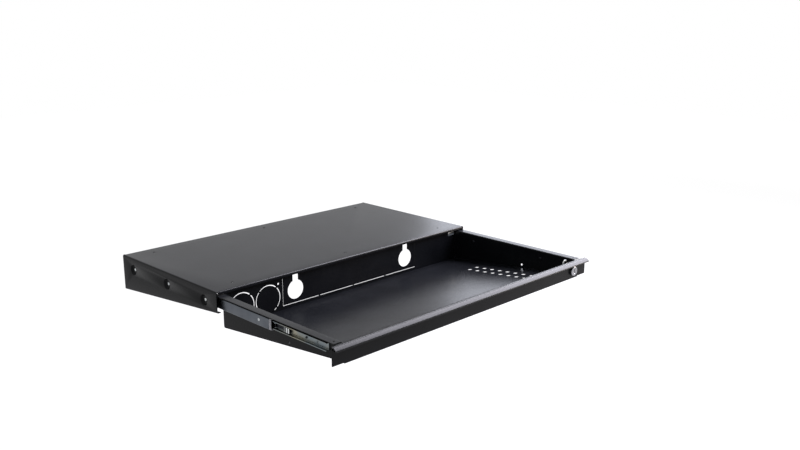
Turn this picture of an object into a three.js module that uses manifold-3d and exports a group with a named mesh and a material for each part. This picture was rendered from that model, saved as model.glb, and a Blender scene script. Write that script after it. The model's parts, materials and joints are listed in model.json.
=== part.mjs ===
// Lockable drawer safe: a wedge-shaped sheet-steel drawer on telescopic ball slides, in an open
// housing that hangs from a flat surface above it, with a cam lock at the front right.
// Millimetres. +X is the user's right, +Y the rear, +Z up, and the origin is the centre of the
// housing's flat top face. Everything is placed for the shut drawer, and each moving group is
// then drawn out by its share of the travel.
import * as THREE from "three";
import { mergeVertices } from "three/addons/utils/BufferGeometryUtils.js";
import Module from "manifold-3d";

const wasm = await Module();
wasm.setup();

// Fits shared by all pieces
const SEAT_GAP = 0.3; // between two faces that rest on each other
const HOLE_CLEARANCE = 0.15; // around a shank or a plug, on the radius
const OVERRUN = 2; // how far a cutter passes a face
const ROUND_STEPS = 12; // facets of a small hole or bar
const PIN_STEPS = 10; // facets round a rivet or screw
const DOME_STEPS = 2; // rings of facets on its head
const LOCK_STEPS = 32; // facets of the lock's larger rounds
const BEND_STEPS = 3; // facets of a sheet bend
const SAME_POINT = 1e-6; // outline points closer than this are one

// Drawer tray: a sloping floor between two folded side walls, deepest at the rear
const TRAY_INNER_WIDTH = 653;
const TRAY_DEPTH = 343; // from the panel's rear face to the rear wall's front face
const TRAY_FRONT_HEIGHT = 34.6; // flange top to the floor's underside, at the front
const TRAY_REAR_HEIGHT = 68.7; // the same at the rear
const TRAY_SHEET = 1.2;
const TRAY_BEND = 1.0; // inner radius of a bend
const UPSTAND_HEIGHT = 4; // rear edge of the floor, folded up behind the rear wall
const CORNER_TAB_WIDTH = 14; // side wall folded in behind the rear wall
const WALL_CORNER_RADIUS = 4; // lower rear corner of a side wall
const FLANGE_HOLE_DIAMETER = 3.5;
const FLANGE_HOLE_SETBACK = 16.1; // behind the panel's rear face
const DRAIN_HOLE_DIAMETER = 4.5; // in both side walls, low down
const DRAIN_HOLE_SETBACK = 144.8;
const DRAIN_HOLE_DROP = 41.4; // below the flange top

// Vent holes in the tray floor, near the right wall
const VENT_DIAMETER = 8.5;
const VENT_PITCH = 21.9;
const VENT_ROWS = 2;
const VENT_ROW_SPACING = 24.4;
const VENT_WALL_OFFSET = 48.6; // right wall to the nearer row
const VENT_REAR_OFFSET = 109.8; // rear wall to the last hole
const VENT_FRONT_MARGIN = 45; // panel to the first hole, at least

// Rear wall with its knock-outs and cable flap
const REAR_FLANGE = 14; // folded forward against each side wall
const KNOCKOUT_DIAMETER = 60;
const KNOCKOUT_SLIT = 2;
const KNOCKOUT_BRIDGE = 3.4;
const KNOCKOUT_DROP = 37.6;
const KNOCKOUT_WALL_OFFSET = 39.2; // left wall to the first centre
const KNOCKOUT_PITCH = 62.9;
const KNOCKOUT_STEPS = 8; // facets of each slit
const KNOCKOUT_SLITS = 4;
const PILOT_HOLE_DIAMETER = 4.5;
const PILOT_HOLE_DROP = 10.8;
const PILOT_HOLE_OFFSET = 25.4; // from the second knock-out, towards the flap
const FLAP_WALL_OFFSET = 138.5; // each side wall to the flap's side slit
const FLAP_HEIGHT = 60.5; // flange top down to the bottom slit
const FLAP_SLIT = 1.8; // along the bottom
const FLAP_SIDE_SLIT = 1.3;
const FLAP_BRIDGE = 4;
const FLAP_TOP_BRIDGE = 3;
const FLAP_BRIDGES = 3; // along the bottom
const KEYHOLE_INSET = 32; // flap's side slit to the middle of a keyhole
const KEYHOLE_DIAMETER = 40;
const KEYHOLE_DROP = 32;
const KEYHOLE_NECK = 14;
const KEYHOLE_STEPS = 28;

// Front panel and grip rail
const PANEL_SHEET = 1.2;
const PANEL_OVERHANG = 8; // beyond the housing's outer face, on each side
const EAR_STEP = 2.6; // how much shorter the panel is outside the tray walls
const PANEL_RETURN = 9; // bottom edge folded back under the floor
const PANEL_RETURN_INSET = 1.5; // the fold ends short of the tray's walls
const RAIL_SHEET = 1.2;
const RAIL_BACK = 6.5; // rail behind the panel's rear face
const RAIL_FORWARD = 10.3; // rail in front of the panel's face
const RAIL_NOSE_HEIGHT = 7.7; // over the hem at its front
const RAIL_HEM = 7; // length of the hem under the nose
const GROOVE_SETBACK = 8; // from the nose to the groove
const GROOVE_WIDTH = 1.8;
const GROOVE_DEPTH = 0.9;

// Housing: an inverted channel with a lip along each lower edge
const HOUSING_REAR_MARGIN = 8.8; // shut tray's rear to the housing's rear edge
const HOUSING_SHEET = 1.5;
const HOUSING_BEND = 1.5;
const HOUSING_LIP = 8.5; // side wall folded in at the bottom, with the sheet
const EDGE_LIP = 6; // front and rear edges of the top, folded down
const EDGE_LIP_INSET = 8; // lip ends short of the housing's side faces
const TOP_GAP = 8; // housing's top face to the tray's flange top
const LIP_CLEARANCE = 2; // cabinet slide to the housing's lip
const FLANGE_CLEARANCE = 1.5; // tray flange to the housing's side
const PANEL_CLEARANCE = 4.5; // shut panel to the housing's front edge
const MOUNTING_HOLE_DIAMETER = 5.5;
const MOUNTING_HOLES_PER_ROW = 3;
const MOUNTING_HOLE_SPACING = 290;
const MOUNTING_HOLE_EDGE = 30; // from the front and rear edges
const PAD_HEIGHT = 4.5; // embossed pads that hold the slides off the side
const PAD_DIAMETER = 24;
const PAD_TOP_DIAMETER = 16;

// Telescopic slide: drawer member in the mid member in the cabinet member
const TRAVEL_PAST_LENGTH = 18; // how much further the drawer comes than the slide is long
const SLIDE_SETBACK = 18; // cabinet member behind the housing's front edge
const SLIDE_REAR_MARGIN = 17; // cabinet member ahead of the housing's rear edge
const DRAWER_MEMBER_SETBACK = 32; // drawer member behind the housing's front edge
const DRAWER_MEMBER_REAR_MARGIN = 4.5; // drawer member ahead of the rear wall
const SLIDE_TOP_CLEARANCE = 2.3; // under the tray's flange
const SLIDE_SHEET = 1.2;
const SLIDE_BEND = 0.6;
const SLIDE_THICKNESS = 12.7;
const DRAWER_MEMBER_HEIGHT = 15;
const DRAWER_MEMBER_REACH = 7.3; // web and legs together
const WEB_GAP = 1.5; // cabinet web to mid web
const MID_REACH = 8.4;
const CABINET_REACH = 10;
const BALL_DIAMETER = 2.4;
const BALL_CLEARANCE = 0.1;
const RACE_DEPTH = 0.4; // of the groove rolled into a leg
const RACE_HALF_WIDTH = 1.3;
const RACE_STEPS = 6;
const INNER_RACE = 4; // ball row from the tray's side wall
const OUTER_RACE = 6.9;
const SLIDE_RIVETS = 3; // along each cabinet member
const SLIDE_RIVET_DIAMETER = 3.2;
const SLIDE_RIVET_HEAD = 6.5;
const SLIDE_RIVET_HEAD_HEIGHT = 1.4;
const SLIDE_RIVET_END = 25; // first rivet from the member's end

// Ball cages
const CAGE_LENGTH = 90;
const CAGE_SHEET = 0.6;
const CAGE_BEND = 0.3;
const CAGE_LEG_PAST_BALL = 0.5; // leg beyond its ball row
const BALLS_PER_ROW = 6;
const BALL_STEPS = 8;
const OUTER_CAGE_FORWARD = 14; // ahead of the slide's middle when shut
const INNER_CAGE_FORWARD = 8;

// Mid member's end stop and its rivet
const BUMPER_LENGTH = 6;
const BUMPER_WALL = 1.3;
const MID_RIVET_DIAMETER = 3;
const MID_RIVET_HEAD = 5.4;
const MID_RIVET_HEAD_HEIGHT = 0.8;
const MID_RIVET_SETBACK = 29; // behind the member's front end
const MID_RIVET_RISE = 1.5; // above the slide's middle

// Drawer member's disconnect lever
const LEVER_SHEET = 0.8;
const LEVER_LENGTH = 40;
const LEVER_HEIGHT = 6;
const LEVER_SETBACK = 100; // behind the member's front end
const LEVER_TAB_HEIGHT = 9;
const LEVER_TAB_REACH = 4.4;
const LEVER_TAB_SETBACK = 13; // middle tab behind the lever's front end
const LEVER_PAD_LENGTH = 9; // finger pad at the front end

// Round boss pressed into the drawer member's web
const BOSS_DIAMETER = 6;
const BOSS_HEIGHT = 0.7;
const BOSS_TOP_DIAMETER = 4.4;
const BOSS_HOLE_DIAMETER = 2.6;
const BOSS_SETBACK = 29; // behind the member's front end

// Fasteners of the drawer
const SLIDE_SCREW_DIAMETER = 4;
const SLIDE_SCREW_HEAD = 7;
const SLIDE_SCREW_HEAD_HEIGHT = 1.6;
const SLIDE_SCREW_PAST_WEB = 1.2;
const SLIDE_SCREW_FRONT = 58; // behind the drawer member's front end
const SLIDE_SCREW_REAR = 52; // ahead of its rear end
const CORNER_RIVET_DIAMETER = 3.2;
const CORNER_RIVET_HEAD = 5.6;
const CORNER_RIVET_HEAD_HEIGHT = 1.2;
const CORNER_RIVET_DROP = 40.5;
const CORNER_RIVET_OFFSET = 7.2; // from the corner, on both walls

// Cam lock and striker
const LOCK_WALL_OFFSET = 15.5; // right wall to the lock's axis
const LOCK_DROP = 19.7;
const LOCK_HEAD_DIAMETER = 20;
const LOCK_HEAD_HEIGHT = 4.7;
const LOCK_HEAD_CHAMFER = 1.2;
const LOCK_BODY_DIAMETER = 16;
const LOCK_BODY_LENGTH = 16.4; // behind the head
const LOCK_PLUG_DIAMETER = 11;
const LOCK_PLUG_SINK = 0.4; // plug's face below the head's face
const KEYWAY_WIDTH = 2.2;
const KEYWAY_HEIGHT = 8;
const KEYWAY_DEPTH = 9;
const LOCK_NUT_WIDTH = 20; // across flats
const LOCK_NUT_THICKNESS = 4;
const HEX_SIDES = 6;
const CAM_SHEET = 2;
const CAM_HUB_DIAMETER = 16;
const CAM_SQUARE = 7;
const CAM_HOOK_RISE = 13.4; // axis up to the middle of the hook
const CAM_HOOK_SHIFT = 4; // and towards the tray's middle
const CAM_HOOK_DIAMETER = 15;
const CAM_MOUTH_DIAMETER = 9.6;
const CAM_MOUTH_ANGLE = 38; // degrees above and below the mouth's middle
const CAM_ARM_WIDTH = 6;
const CAM_SCREW_HEAD = 8;
const CAM_SCREW_HEAD_HEIGHT = 2.4;
const CAM_SCREW_DIAMETER = 4;
const CAM_SCREW_LENGTH = 8;
const STRIKER_SHEET = 1.5;
const STRIKER_WIDTH = 18;
const STRIKER_FOOT = 16;
const STRIKER_BEND = 1;
const STRIKER_AHEAD = 2.5; // cam behind the striker when shut
const NOTCH_SIDE_CLEARANCE = 2; // rear wall's notch around the striker
const NOTCH_BOTTOM_CLEARANCE = 3.6;
const STRIKER_HOLD = 6; // striker below the tray's flange top

// Shares of the drawer's travel that the moving groups follow
const mid_travel_share = 0.5;
const outer_cage_travel_share = 0.25;
const inner_cage_travel_share = 0.75;

// Places worked out from the sizes above
const trayInner = TRAY_INNER_WIDTH / 2;
const trayOuter = trayInner + TRAY_SHEET;
const sideSpace = SEAT_GAP + SLIDE_THICKNESS + SEAT_GAP + PAD_HEIGHT;
const housingInner = trayOuter + sideSpace;
const housingOuter = housingInner + HOUSING_SHEET;
const flangeEdge = housingInner - FLANGE_CLEARANCE;
const panelHalf = housingOuter + PANEL_OVERHANG;
const trayOverall = TRAY_DEPTH + TRAY_SHEET + SEAT_GAP + TRAY_SHEET; // behind the panel
const housingLength = trayOverall - PANEL_CLEARANCE + HOUSING_REAR_MARGIN;
const housingFront = -housingLength / 2;
const housingRear = housingLength / 2;
const flangeTop = -TOP_GAP;
const panelBack = housingFront - PANEL_CLEARANCE; // the panel's rear face, shut
const panelFace = panelBack - PANEL_SHEET;
const trayFront = panelBack + SEAT_GAP;
const rearWallFront = panelBack + TRAY_DEPTH;
const rearWallBack = rearWallFront + TRAY_SHEET;
const trayRear = panelBack + trayOverall;
const floorSlope = (TRAY_REAR_HEIGHT - TRAY_FRONT_HEIGHT) / (trayRear - trayFront);
const raceGap = BALL_DIAMETER + BALL_CLEARANCE * 2 - RACE_DEPTH * 2;
const midHeight = DRAWER_MEMBER_HEIGHT + (raceGap + SLIDE_SHEET) * 2;
const cabinetHeight = midHeight + (raceGap + SLIDE_SHEET) * 2;
const slideMiddle = flangeTop - TRAY_SHEET - SLIDE_TOP_CLEARANCE - cabinetHeight / 2;
const housingFrontBottom = slideMiddle - cabinetHeight / 2 - LIP_CLEARANCE - HOUSING_SHEET;
const cabinetFront = housingFront + SLIDE_SETBACK;
const cabinetRear = housingRear - SLIDE_REAR_MARGIN;
const cabinetMiddle = (cabinetFront + cabinetRear) / 2;
const drawerMemberFront = housingFront + DRAWER_MEMBER_SETBACK;
const drawerMemberRear = rearWallFront - DRAWER_MEMBER_REAR_MARGIN;
const slideTravel = cabinetRear - cabinetFront + TRAVEL_PAST_LENGTH;
const webInner = SEAT_GAP; // slide places are counted outwards from the tray's side wall
const cabinetWeb = webInner + SLIDE_THICKNESS;
const midWeb = cabinetWeb - SLIDE_SHEET - WEB_GAP;
const flapHalf = trayInner - FLAP_WALL_OFFSET;
const keyholeX = flapHalf - KEYHOLE_INSET;
const lockX = trayInner - LOCK_WALL_OFFSET;
const lockZ = flangeTop - LOCK_DROP;
const railUnderside = flangeTop - RAIL_SHEET - SEAT_GAP;
const strikerBottom = flangeTop - STRIKER_HOLD;
const lockBodyRear = panelFace - SEAT_GAP + LOCK_BODY_LENGTH;
const camFront = lockBodyRear + SEAT_GAP;

const vec2 = (x, y) => new THREE.Vector2(x, y);

// The floor's underside at a place along Y
function floorUnderside(y) {
  return flangeTop - TRAY_FRONT_HEIGHT - (y - trayFront) * floorSlope;
}

// The floor's upper face at a place along Y
function floorTop(y) {
  return floorUnderside(y) + TRAY_SHEET;
}

// The housing's lower edge runs parallel to the tray's floor
function housingBottom(y) {
  return housingFrontBottom - (y - housingFront) * floorSlope;
}

// A closed geometry as a solid for joining and cutting
function solidOf(geometry) {
  const bare = geometry.clone();
  bare.deleteAttribute("normal");
  bare.deleteAttribute("uv");
  const merged = mergeVertices(bare);
  return new wasm.Manifold(
    new wasm.Mesh({
      numProp: 3,
      vertProperties: merged.attributes.position.array,
      triVerts: new Uint32Array(merged.index.array),
    }),
  );
}

// A solid as a geometry with one position per vertex
function geometryOf(solid) {
  const mesh = solid.getMesh();
  const geometry = new THREE.BufferGeometry();
  geometry.setAttribute("position", new THREE.BufferAttribute(mesh.vertProperties, 3));
  geometry.setIndex(new THREE.BufferAttribute(mesh.triVerts, 1));
  return geometry;
}

// One geometry from a base, with others joined to it and others cut out of it
function shaped(base, joined, cut) {
  let solid = solidOf(base);
  for (const piece of joined) solid = solid.add(solidOf(piece));
  for (const piece of cut) solid = solid.subtract(solidOf(piece));
  return geometryOf(solid);
}

// Corner points with each inner corner rounded by an arc
function rounded(corners, radius) {
  const points = [corners[0]];
  for (let i = 1; i < corners.length - 1; i++) {
    const back = corners[i - 1].clone().sub(corners[i]).normalize();
    const ahead = corners[i + 1].clone().sub(corners[i]).normalize();
    const half = Math.acos(THREE.MathUtils.clamp(back.dot(ahead), -1, 1)) / 2;
    const middle = back.clone().add(ahead).normalize();
    const centre = corners[i].clone().addScaledVector(middle, radius / Math.sin(half));
    const start = corners[i].clone().addScaledVector(back, radius / Math.tan(half)).sub(centre);
    const end = corners[i].clone().addScaledVector(ahead, radius / Math.tan(half)).sub(centre);
    const sweep = Math.atan2(start.cross(end), start.dot(end));
    for (let k = 0; k <= BEND_STEPS; k++) {
      const turned = start.clone().rotateAround(vec2(0, 0), (sweep * k) / BEND_STEPS);
      const point = centre.clone().add(turned);
      if (point.distanceTo(points[points.length - 1]) > SAME_POINT) points.push(point);
    }
  }
  points.push(corners[corners.length - 1]);
  return points;
}

// Closed outline of a sheet whose middle plane follows the given points
function sheetOutline(points, thickness) {
  const left = [];
  const right = [];
  points.forEach((point, i) => {
    const before = points[Math.max(i - 1, 0)];
    const after = points[Math.min(i + 1, points.length - 1)];
    const inward = i > 0 ? point.clone().sub(before) : after.clone().sub(point);
    const outward = i < points.length - 1 ? after.clone().sub(point) : inward.clone();
    const a = inward.normalize();
    const b = outward.normalize();
    const normal = vec2(-(a.y + b.y), a.x + b.x).normalize();
    const reach = thickness / 2 / normal.dot(vec2(-a.y, a.x));
    left.push(point.clone().addScaledVector(normal, reach));
    right.push(point.clone().addScaledVector(normal, -reach));
  });
  return left.concat(right.reverse());
}

// A closed body between like outlines, given as { at, outline }. Outline points are (x, z) and
// the stations lie along Y.
function lofted(stations) {
  const forward = THREE.ShapeUtils.isClockWise(stations[0].outline);
  const rows = stations.map((s) => (forward ? s.outline.slice().reverse() : s.outline));
  const count = rows[0].length;
  const positions = [];
  rows.forEach((row, r) => row.forEach((p) => positions.push(p.x, stations[r].at, p.y)));
  const faces = [];
  const caps = THREE.ShapeUtils.triangulateShape(rows[0], []);
  const last = (rows.length - 1) * count;
  for (const [a, b, c] of caps) {
    faces.push(a, b, c);
    faces.push(last + a, last + c, last + b);
  }
  for (let r = 0; r < rows.length - 1; r++) {
    for (let i = 0; i < count; i++) {
      const j = (i + 1) % count;
      const [a, b] = [r * count + i, r * count + j];
      faces.push(a, a + count, b + count, a, b + count, b);
    }
  }
  const geometry = new THREE.BufferGeometry();
  geometry.setAttribute("position", new THREE.Float32BufferAttribute(positions, 3));
  geometry.setIndex(faces);
  return geometry;
}

// An outline of (x, z) points carried from y0 to y1
function alongY(outline, y0, y1) {
  return lofted([
    { at: y0, outline },
    { at: y1, outline },
  ]);
}

// An outline of (y, z) points carried from x0 to x1
function alongX(outline, x0, x1) {
  const geometry = alongY(outline, -x1, -x0);
  return geometry.rotateZ(Math.PI / 2);
}

// An outline of (x, y) points carried from z0 to z1
function alongZ(outline, z0, z1) {
  const flipped = outline.map((p) => vec2(p.x, -p.y));
  const geometry = alongY(flipped, z0, z1);
  return geometry.rotateX(Math.PI / 2);
}

// A box between two corners
function block(x0, x1, y0, y1, z0, z1) {
  const geometry = new THREE.BoxGeometry(x1 - x0, y1 - y0, z1 - z0);
  return geometry.translate((x0 + x1) / 2, (y0 + y1) / 2, (z0 + z1) / 2);
}

// A round bar along Y
function barY(x, z, y0, y1, diameter, steps = ROUND_STEPS) {
  const geometry = new THREE.CylinderGeometry(diameter / 2, diameter / 2, y1 - y0, steps);
  return geometry.translate(0, (y0 + y1) / 2, 0).translate(x, 0, z);
}

// A round bar along X
function barX(y, z, x0, x1, diameter, steps = ROUND_STEPS) {
  const geometry = barY(0, 0, -Math.max(x0, x1), -Math.min(x0, x1), diameter, steps);
  return geometry.rotateZ(Math.PI / 2).translate(0, y, z);
}

// A round bar along Z
function barZ(x, y, z0, z1, diameter, steps = ROUND_STEPS) {
  const geometry = barY(0, 0, z0, z1, diameter, steps);
  return geometry.rotateX(Math.PI / 2).translate(x, y, 0);
}

// A domed rivet or screw along +Y: head on the near side of y = 0, shank behind it
function domedPin(headDiameter, headHeight, shankDiameter, shankLength) {
  const profile = [vec2(0, -headHeight)];
  for (let k = 1; k <= DOME_STEPS; k++) {
    const angle = (k / DOME_STEPS) * (Math.PI / 2);
    profile.push(
      vec2((Math.sin(angle) * headDiameter) / 2, -Math.cos(angle) * headHeight),
    );
  }
  profile.push(vec2(shankDiameter / 2, 0));
  profile.push(vec2(shankDiameter / 2, shankLength));
  profile.push(vec2(0, shankLength));
  return new THREE.LatheGeometry(profile, PIN_STEPS);
}

// The same pin pointing along X, its shank towards the given side
function domedPinX(side, headDiameter, headHeight, shankDiameter, shankLength) {
  const geometry = domedPin(headDiameter, headHeight, shankDiameter, shankLength);
  return geometry.rotateZ((-side * Math.PI) / 2);
}

// Mirrors a right-hand geometry to the given side, with its faces still outwards
function toSide(geometry, side) {
  if (side > 0) return geometry;
  const mirrored = geometryOf(solidOf(geometry).mirror([1, 0, 0]));
  return mirrored;
}

// Black powder coat, zinc plate, polished lock metal and grey plastic
const finishes = {
  powderCoat: { color: 0x1d1d1f, roughness: 0.45, metalness: 0.1 },
  zinc: { color: 0xa9adae, roughness: 0.35, metalness: 1 },
  darkZinc: { color: 0x6c7073, roughness: 0.4, metalness: 1 },
  polished: { color: 0xc9c9cb, roughness: 0.18, metalness: 1 },
  greyPlastic: { color: 0x9a9da0, roughness: 0.5, metalness: 0 },
  steelBall: { color: 0xb9bcc0, roughness: 0.12, metalness: 1 },
};

function piece(name, geometry, finish) {
  const mesh = new THREE.Mesh(geometry, new THREE.MeshStandardMaterial(finishes[finish]));
  mesh.name = name;
  mesh.geometry.computeVertexNormals();
  return mesh;
}

// A folded section at one station of the housing: side walls, top and lower lips
function housingOutline(y) {
  const half = HOUSING_SHEET / 2;
  const bottom = housingBottom(y) + half;
  const wall = housingOuter - half;
  const lipEnd = housingOuter - HOUSING_LIP;
  const corners = [
    vec2(-lipEnd, bottom),
    vec2(-wall, bottom),
    vec2(-wall, -half),
    vec2(wall, -half),
    vec2(wall, bottom),
    vec2(lipEnd, bottom),
  ];
  return sheetOutline(rounded(corners, HOUSING_BEND + half), HOUSING_SHEET);
}

// Places along Y of the rivets that hold a cabinet member
function slideRivetPlaces() {
  const first = cabinetFront + SLIDE_RIVET_END;
  const step = (cabinetRear - SLIDE_RIVET_END - first) / (SLIDE_RIVETS - 1);
  return Array.from({ length: SLIDE_RIVETS }, (_, i) => first + step * i);
}

// A cone along X that stands on a face and narrows towards the tray
function padCone(side, y, face, height) {
  const cone = new THREE.CylinderGeometry(
    PAD_TOP_DIAMETER / 2,
    PAD_DIAMETER / 2,
    height,
    ROUND_STEPS,
  );
  cone.translate(0, height / 2, 0).rotateZ((side * Math.PI) / 2);
  return cone.translate(side * face, y, slideMiddle);
}

// Places of the mounting holes in the housing's top
function mountingPlaces() {
  const places = [];
  for (const y of [housingFront + MOUNTING_HOLE_EDGE, housingRear - MOUNTING_HOLE_EDGE]) {
    for (let i = 0; i < MOUNTING_HOLES_PER_ROW; i++) {
      places.push(vec2((i - (MOUNTING_HOLES_PER_ROW - 1) / 2) * MOUNTING_HOLE_SPACING, y));
    }
  }
  return places;
}

function housingShell() {
  const shell = lofted([
    { at: housingFront, outline: housingOutline(housingFront) },
    { at: housingRear, outline: housingOutline(housingRear) },
  ]);
  const lipHalf = housingOuter - EDGE_LIP_INSET;
  const joined = [
    block(-lipHalf, lipHalf, housingFront, housingFront + HOUSING_SHEET, -EDGE_LIP, -HOUSING_SHEET / 2),
    block(-lipHalf, lipHalf, housingRear - HOUSING_SHEET, housingRear, -EDGE_LIP, -HOUSING_SHEET / 2),
  ];
  const cut = mountingPlaces().map((p) =>
    barZ(p.x, p.y, -HOUSING_SHEET - OVERRUN, OVERRUN, MOUNTING_HOLE_DIAMETER),
  );
  const holeDiameter = SLIDE_RIVET_DIAMETER + HOLE_CLEARANCE * 2;
  for (const side of [-1, 1]) {
    for (const y of slideRivetPlaces()) {
      joined.push(padCone(side, y, housingInner + HOUSING_SHEET / 2, PAD_HEIGHT + HOUSING_SHEET / 2));
      cut.push(padCone(side, y, housingOuter, PAD_HEIGHT));
      cut.push(
        barX(y, slideMiddle, side * (housingInner - PAD_HEIGHT - OVERRUN), side * housingOuter, holeDiameter),
      );
    }
  }
  return shaped(shell, joined, cut);
}

// The striker hangs from the housing's top, and the cam's hook turns up behind it
function lockStriker() {
  const half = STRIKER_SHEET / 2;
  const tongue = camFront - STRIKER_AHEAD - half;
  const top = -HOUSING_SHEET - SEAT_GAP - half;
  const corners = [
    vec2(tongue, strikerBottom),
    vec2(tongue, top),
    vec2(tongue + STRIKER_FOOT, top),
  ];
  const outline = sheetOutline(rounded(corners, STRIKER_BEND + half), STRIKER_SHEET);
  return alongX(outline, lockX - STRIKER_WIDTH / 2, lockX + STRIKER_WIDTH / 2);
}

// One leg of a slide member from its tip to its web: places out from the tray wall and
// heights, with each ball race rolled in by a cosine wave
function legPoints(tip, web, height, races) {
  const points = [vec2(tip, height)];
  const heading = Math.sign(web - tip);
  for (const race of races) {
    for (let k = -RACE_STEPS / 2; k <= RACE_STEPS / 2; k++) {
      const share = k / (RACE_STEPS / 2);
      const lift = (race.depth * (1 + Math.cos(share * Math.PI))) / 2;
      points.push(vec2(race.at + heading * share * RACE_HALF_WIDTH, height + lift));
    }
  }
  points.push(vec2(web, height));
  return points;
}

// Closed outline of a slide member: upper leg, web and lower leg, with the web's corners bent.
// The points run outwards from the tray wall, then back.
function memberOutline(tip, web, height, races, sheet, bend) {
  const upper = legPoints(tip, web, height, races);
  const lower = upper.map((p) => vec2(p.x, -p.y)).reverse();
  const corner = rounded(
    [upper[upper.length - 2], upper[upper.length - 1], lower[0], lower[1]],
    bend + sheet / 2,
  );
  const points = upper.slice(0, -2).concat(corner, lower.slice(2));
  return sheetOutline(points, sheet).map((p) => vec2(trayOuter + p.x, slideMiddle + p.y));
}

function cabinetMember() {
  const sheet = SLIDE_SHEET;
  const outline = memberOutline(
    cabinetWeb - CABINET_REACH,
    cabinetWeb - sheet / 2,
    (cabinetHeight - sheet) / 2,
    [{ at: OUTER_RACE, depth: RACE_DEPTH }],
    sheet,
    SLIDE_BEND,
  );
  const bar = alongY(outline, cabinetFront, cabinetRear);
  const holeDiameter = SLIDE_RIVET_DIAMETER + HOLE_CLEARANCE * 2;
  const outer = trayOuter + cabinetWeb;
  const cut = slideRivetPlaces().map((y) =>
    barX(y, slideMiddle, outer - SLIDE_SHEET - OVERRUN / 2, outer + OVERRUN, holeDiameter),
  );
  return shaped(bar, [], cut);
}

function midMember() {
  const sheet = SLIDE_SHEET;
  const outline = memberOutline(
    midWeb - MID_REACH,
    midWeb - sheet / 2,
    (midHeight - sheet) / 2,
    [
      { at: INNER_RACE, depth: RACE_DEPTH },
      { at: OUTER_RACE, depth: -RACE_DEPTH },
    ],
    sheet,
    SLIDE_BEND,
  );
  const bar = alongY(outline, cabinetFront, cabinetRear);
  const outer = trayOuter + midWeb;
  const hole = barX(
    cabinetFront + MID_RIVET_SETBACK,
    slideMiddle + MID_RIVET_RISE,
    outer - SLIDE_SHEET - OVERRUN,
    outer + OVERRUN,
    MID_RIVET_DIAMETER + HOLE_CLEARANCE * 2,
  );
  return shaped(bar, [], [hole]);
}

// Places along Y of the screws that hold a drawer member
function slideScrewPlaces() {
  return [drawerMemberFront + SLIDE_SCREW_FRONT, drawerMemberRear - SLIDE_SCREW_REAR];
}

// The drawer member's web lies on the tray's wall, and its legs point outwards
function drawerMember() {
  const sheet = SLIDE_SHEET;
  const outline = memberOutline(
    webInner + DRAWER_MEMBER_REACH,
    webInner + sheet / 2,
    (DRAWER_MEMBER_HEIGHT - sheet) / 2,
    [{ at: INNER_RACE, depth: -RACE_DEPTH }],
    sheet,
    SLIDE_BEND,
  );
  const bar = alongY(outline, drawerMemberFront, drawerMemberRear);
  const holeDiameter = SLIDE_SCREW_DIAMETER + HOLE_CLEARANCE * 2;
  const [near, far] = [trayOuter - OVERRUN, trayOuter + webInner + SLIDE_SHEET + OVERRUN];
  const cut = slideScrewPlaces().map((y) => barX(y, slideMiddle, near, far, holeDiameter));
  const bossY = drawerMemberFront + BOSS_SETBACK;
  cut.push(barX(bossY, slideMiddle, near, far, BOSS_HOLE_DIAMETER));
  return shaped(bar, [memberBoss(bossY)], cut);
}

// The boss on the drawer member's web: a low cone with its base sunk in the sheet
function memberBoss(y) {
  const height = BOSS_HEIGHT + SLIDE_SHEET / 2;
  const cone = new THREE.CylinderGeometry(BOSS_TOP_DIAMETER / 2, BOSS_DIAMETER / 2, height, ROUND_STEPS);
  const base = trayOuter + webInner + SLIDE_SHEET / 2;
  return cone.rotateZ(-Math.PI / 2).translate(base + height / 2, y, slideMiddle);
}

// A ball cage: a thin channel with a row of balls held in each leg
function ballCage(web, race, legHeight, middle) {
  const tip = race - BALL_DIAMETER / 2 - CAGE_LEG_PAST_BALL;
  const corners = [
    vec2(tip, legHeight),
    vec2(web, legHeight),
    vec2(web, -legHeight),
    vec2(tip, -legHeight),
  ];
  const outline = sheetOutline(rounded(corners, CAGE_BEND + CAGE_SHEET / 2), CAGE_SHEET);
  const placed = outline.map((p) => vec2(trayOuter + p.x, slideMiddle + p.y));
  const strip = alongY(placed, middle - CAGE_LENGTH / 2, middle + CAGE_LENGTH / 2);
  const pitch = CAGE_LENGTH / BALLS_PER_ROW;
  const balls = [];
  for (const up of [-1, 1]) {
    for (let i = 0; i < BALLS_PER_ROW; i++) {
      const ball = new THREE.SphereGeometry(BALL_DIAMETER / 2, BALL_STEPS, BALL_STEPS / 2);
      const y = middle + (i - (BALLS_PER_ROW - 1) / 2) * pitch;
      balls.push(ball.translate(trayOuter + race, y, slideMiddle + up * legHeight));
    }
  }
  return shaped(strip, balls, []);
}

function outerCage() {
  const web = midWeb + WEB_GAP / 2;
  const legHeight = (midHeight + raceGap) / 2;
  return ballCage(web, OUTER_RACE, legHeight, cabinetMiddle - OUTER_CAGE_FORWARD);
}

function innerCage() {
  const web = (midWeb - SLIDE_SHEET + webInner + DRAWER_MEMBER_REACH) / 2;
  const legHeight = (DRAWER_MEMBER_HEIGHT + raceGap) / 2;
  return ballCage(web, INNER_RACE, legHeight, cabinetMiddle - INNER_CAGE_FORWARD);
}

// The plastic stop on the mid member's front end, open for the drawer member
function midBumper() {
  const half = BUMPER_WALL / 2;
  const web = midWeb - half;
  const height = midHeight / 2 - half;
  const tip = midWeb - MID_REACH + half;
  const corners = [vec2(tip, height), vec2(web, height), vec2(web, -height), vec2(tip, -height)];
  const outline = sheetOutline(rounded(corners, SLIDE_SHEET), BUMPER_WALL);
  const placed = outline.map((p) => vec2(trayOuter + p.x, slideMiddle + p.y));
  const rear = cabinetFront - SEAT_GAP;
  return alongY(placed, rear - BUMPER_LENGTH, rear);
}

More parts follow.
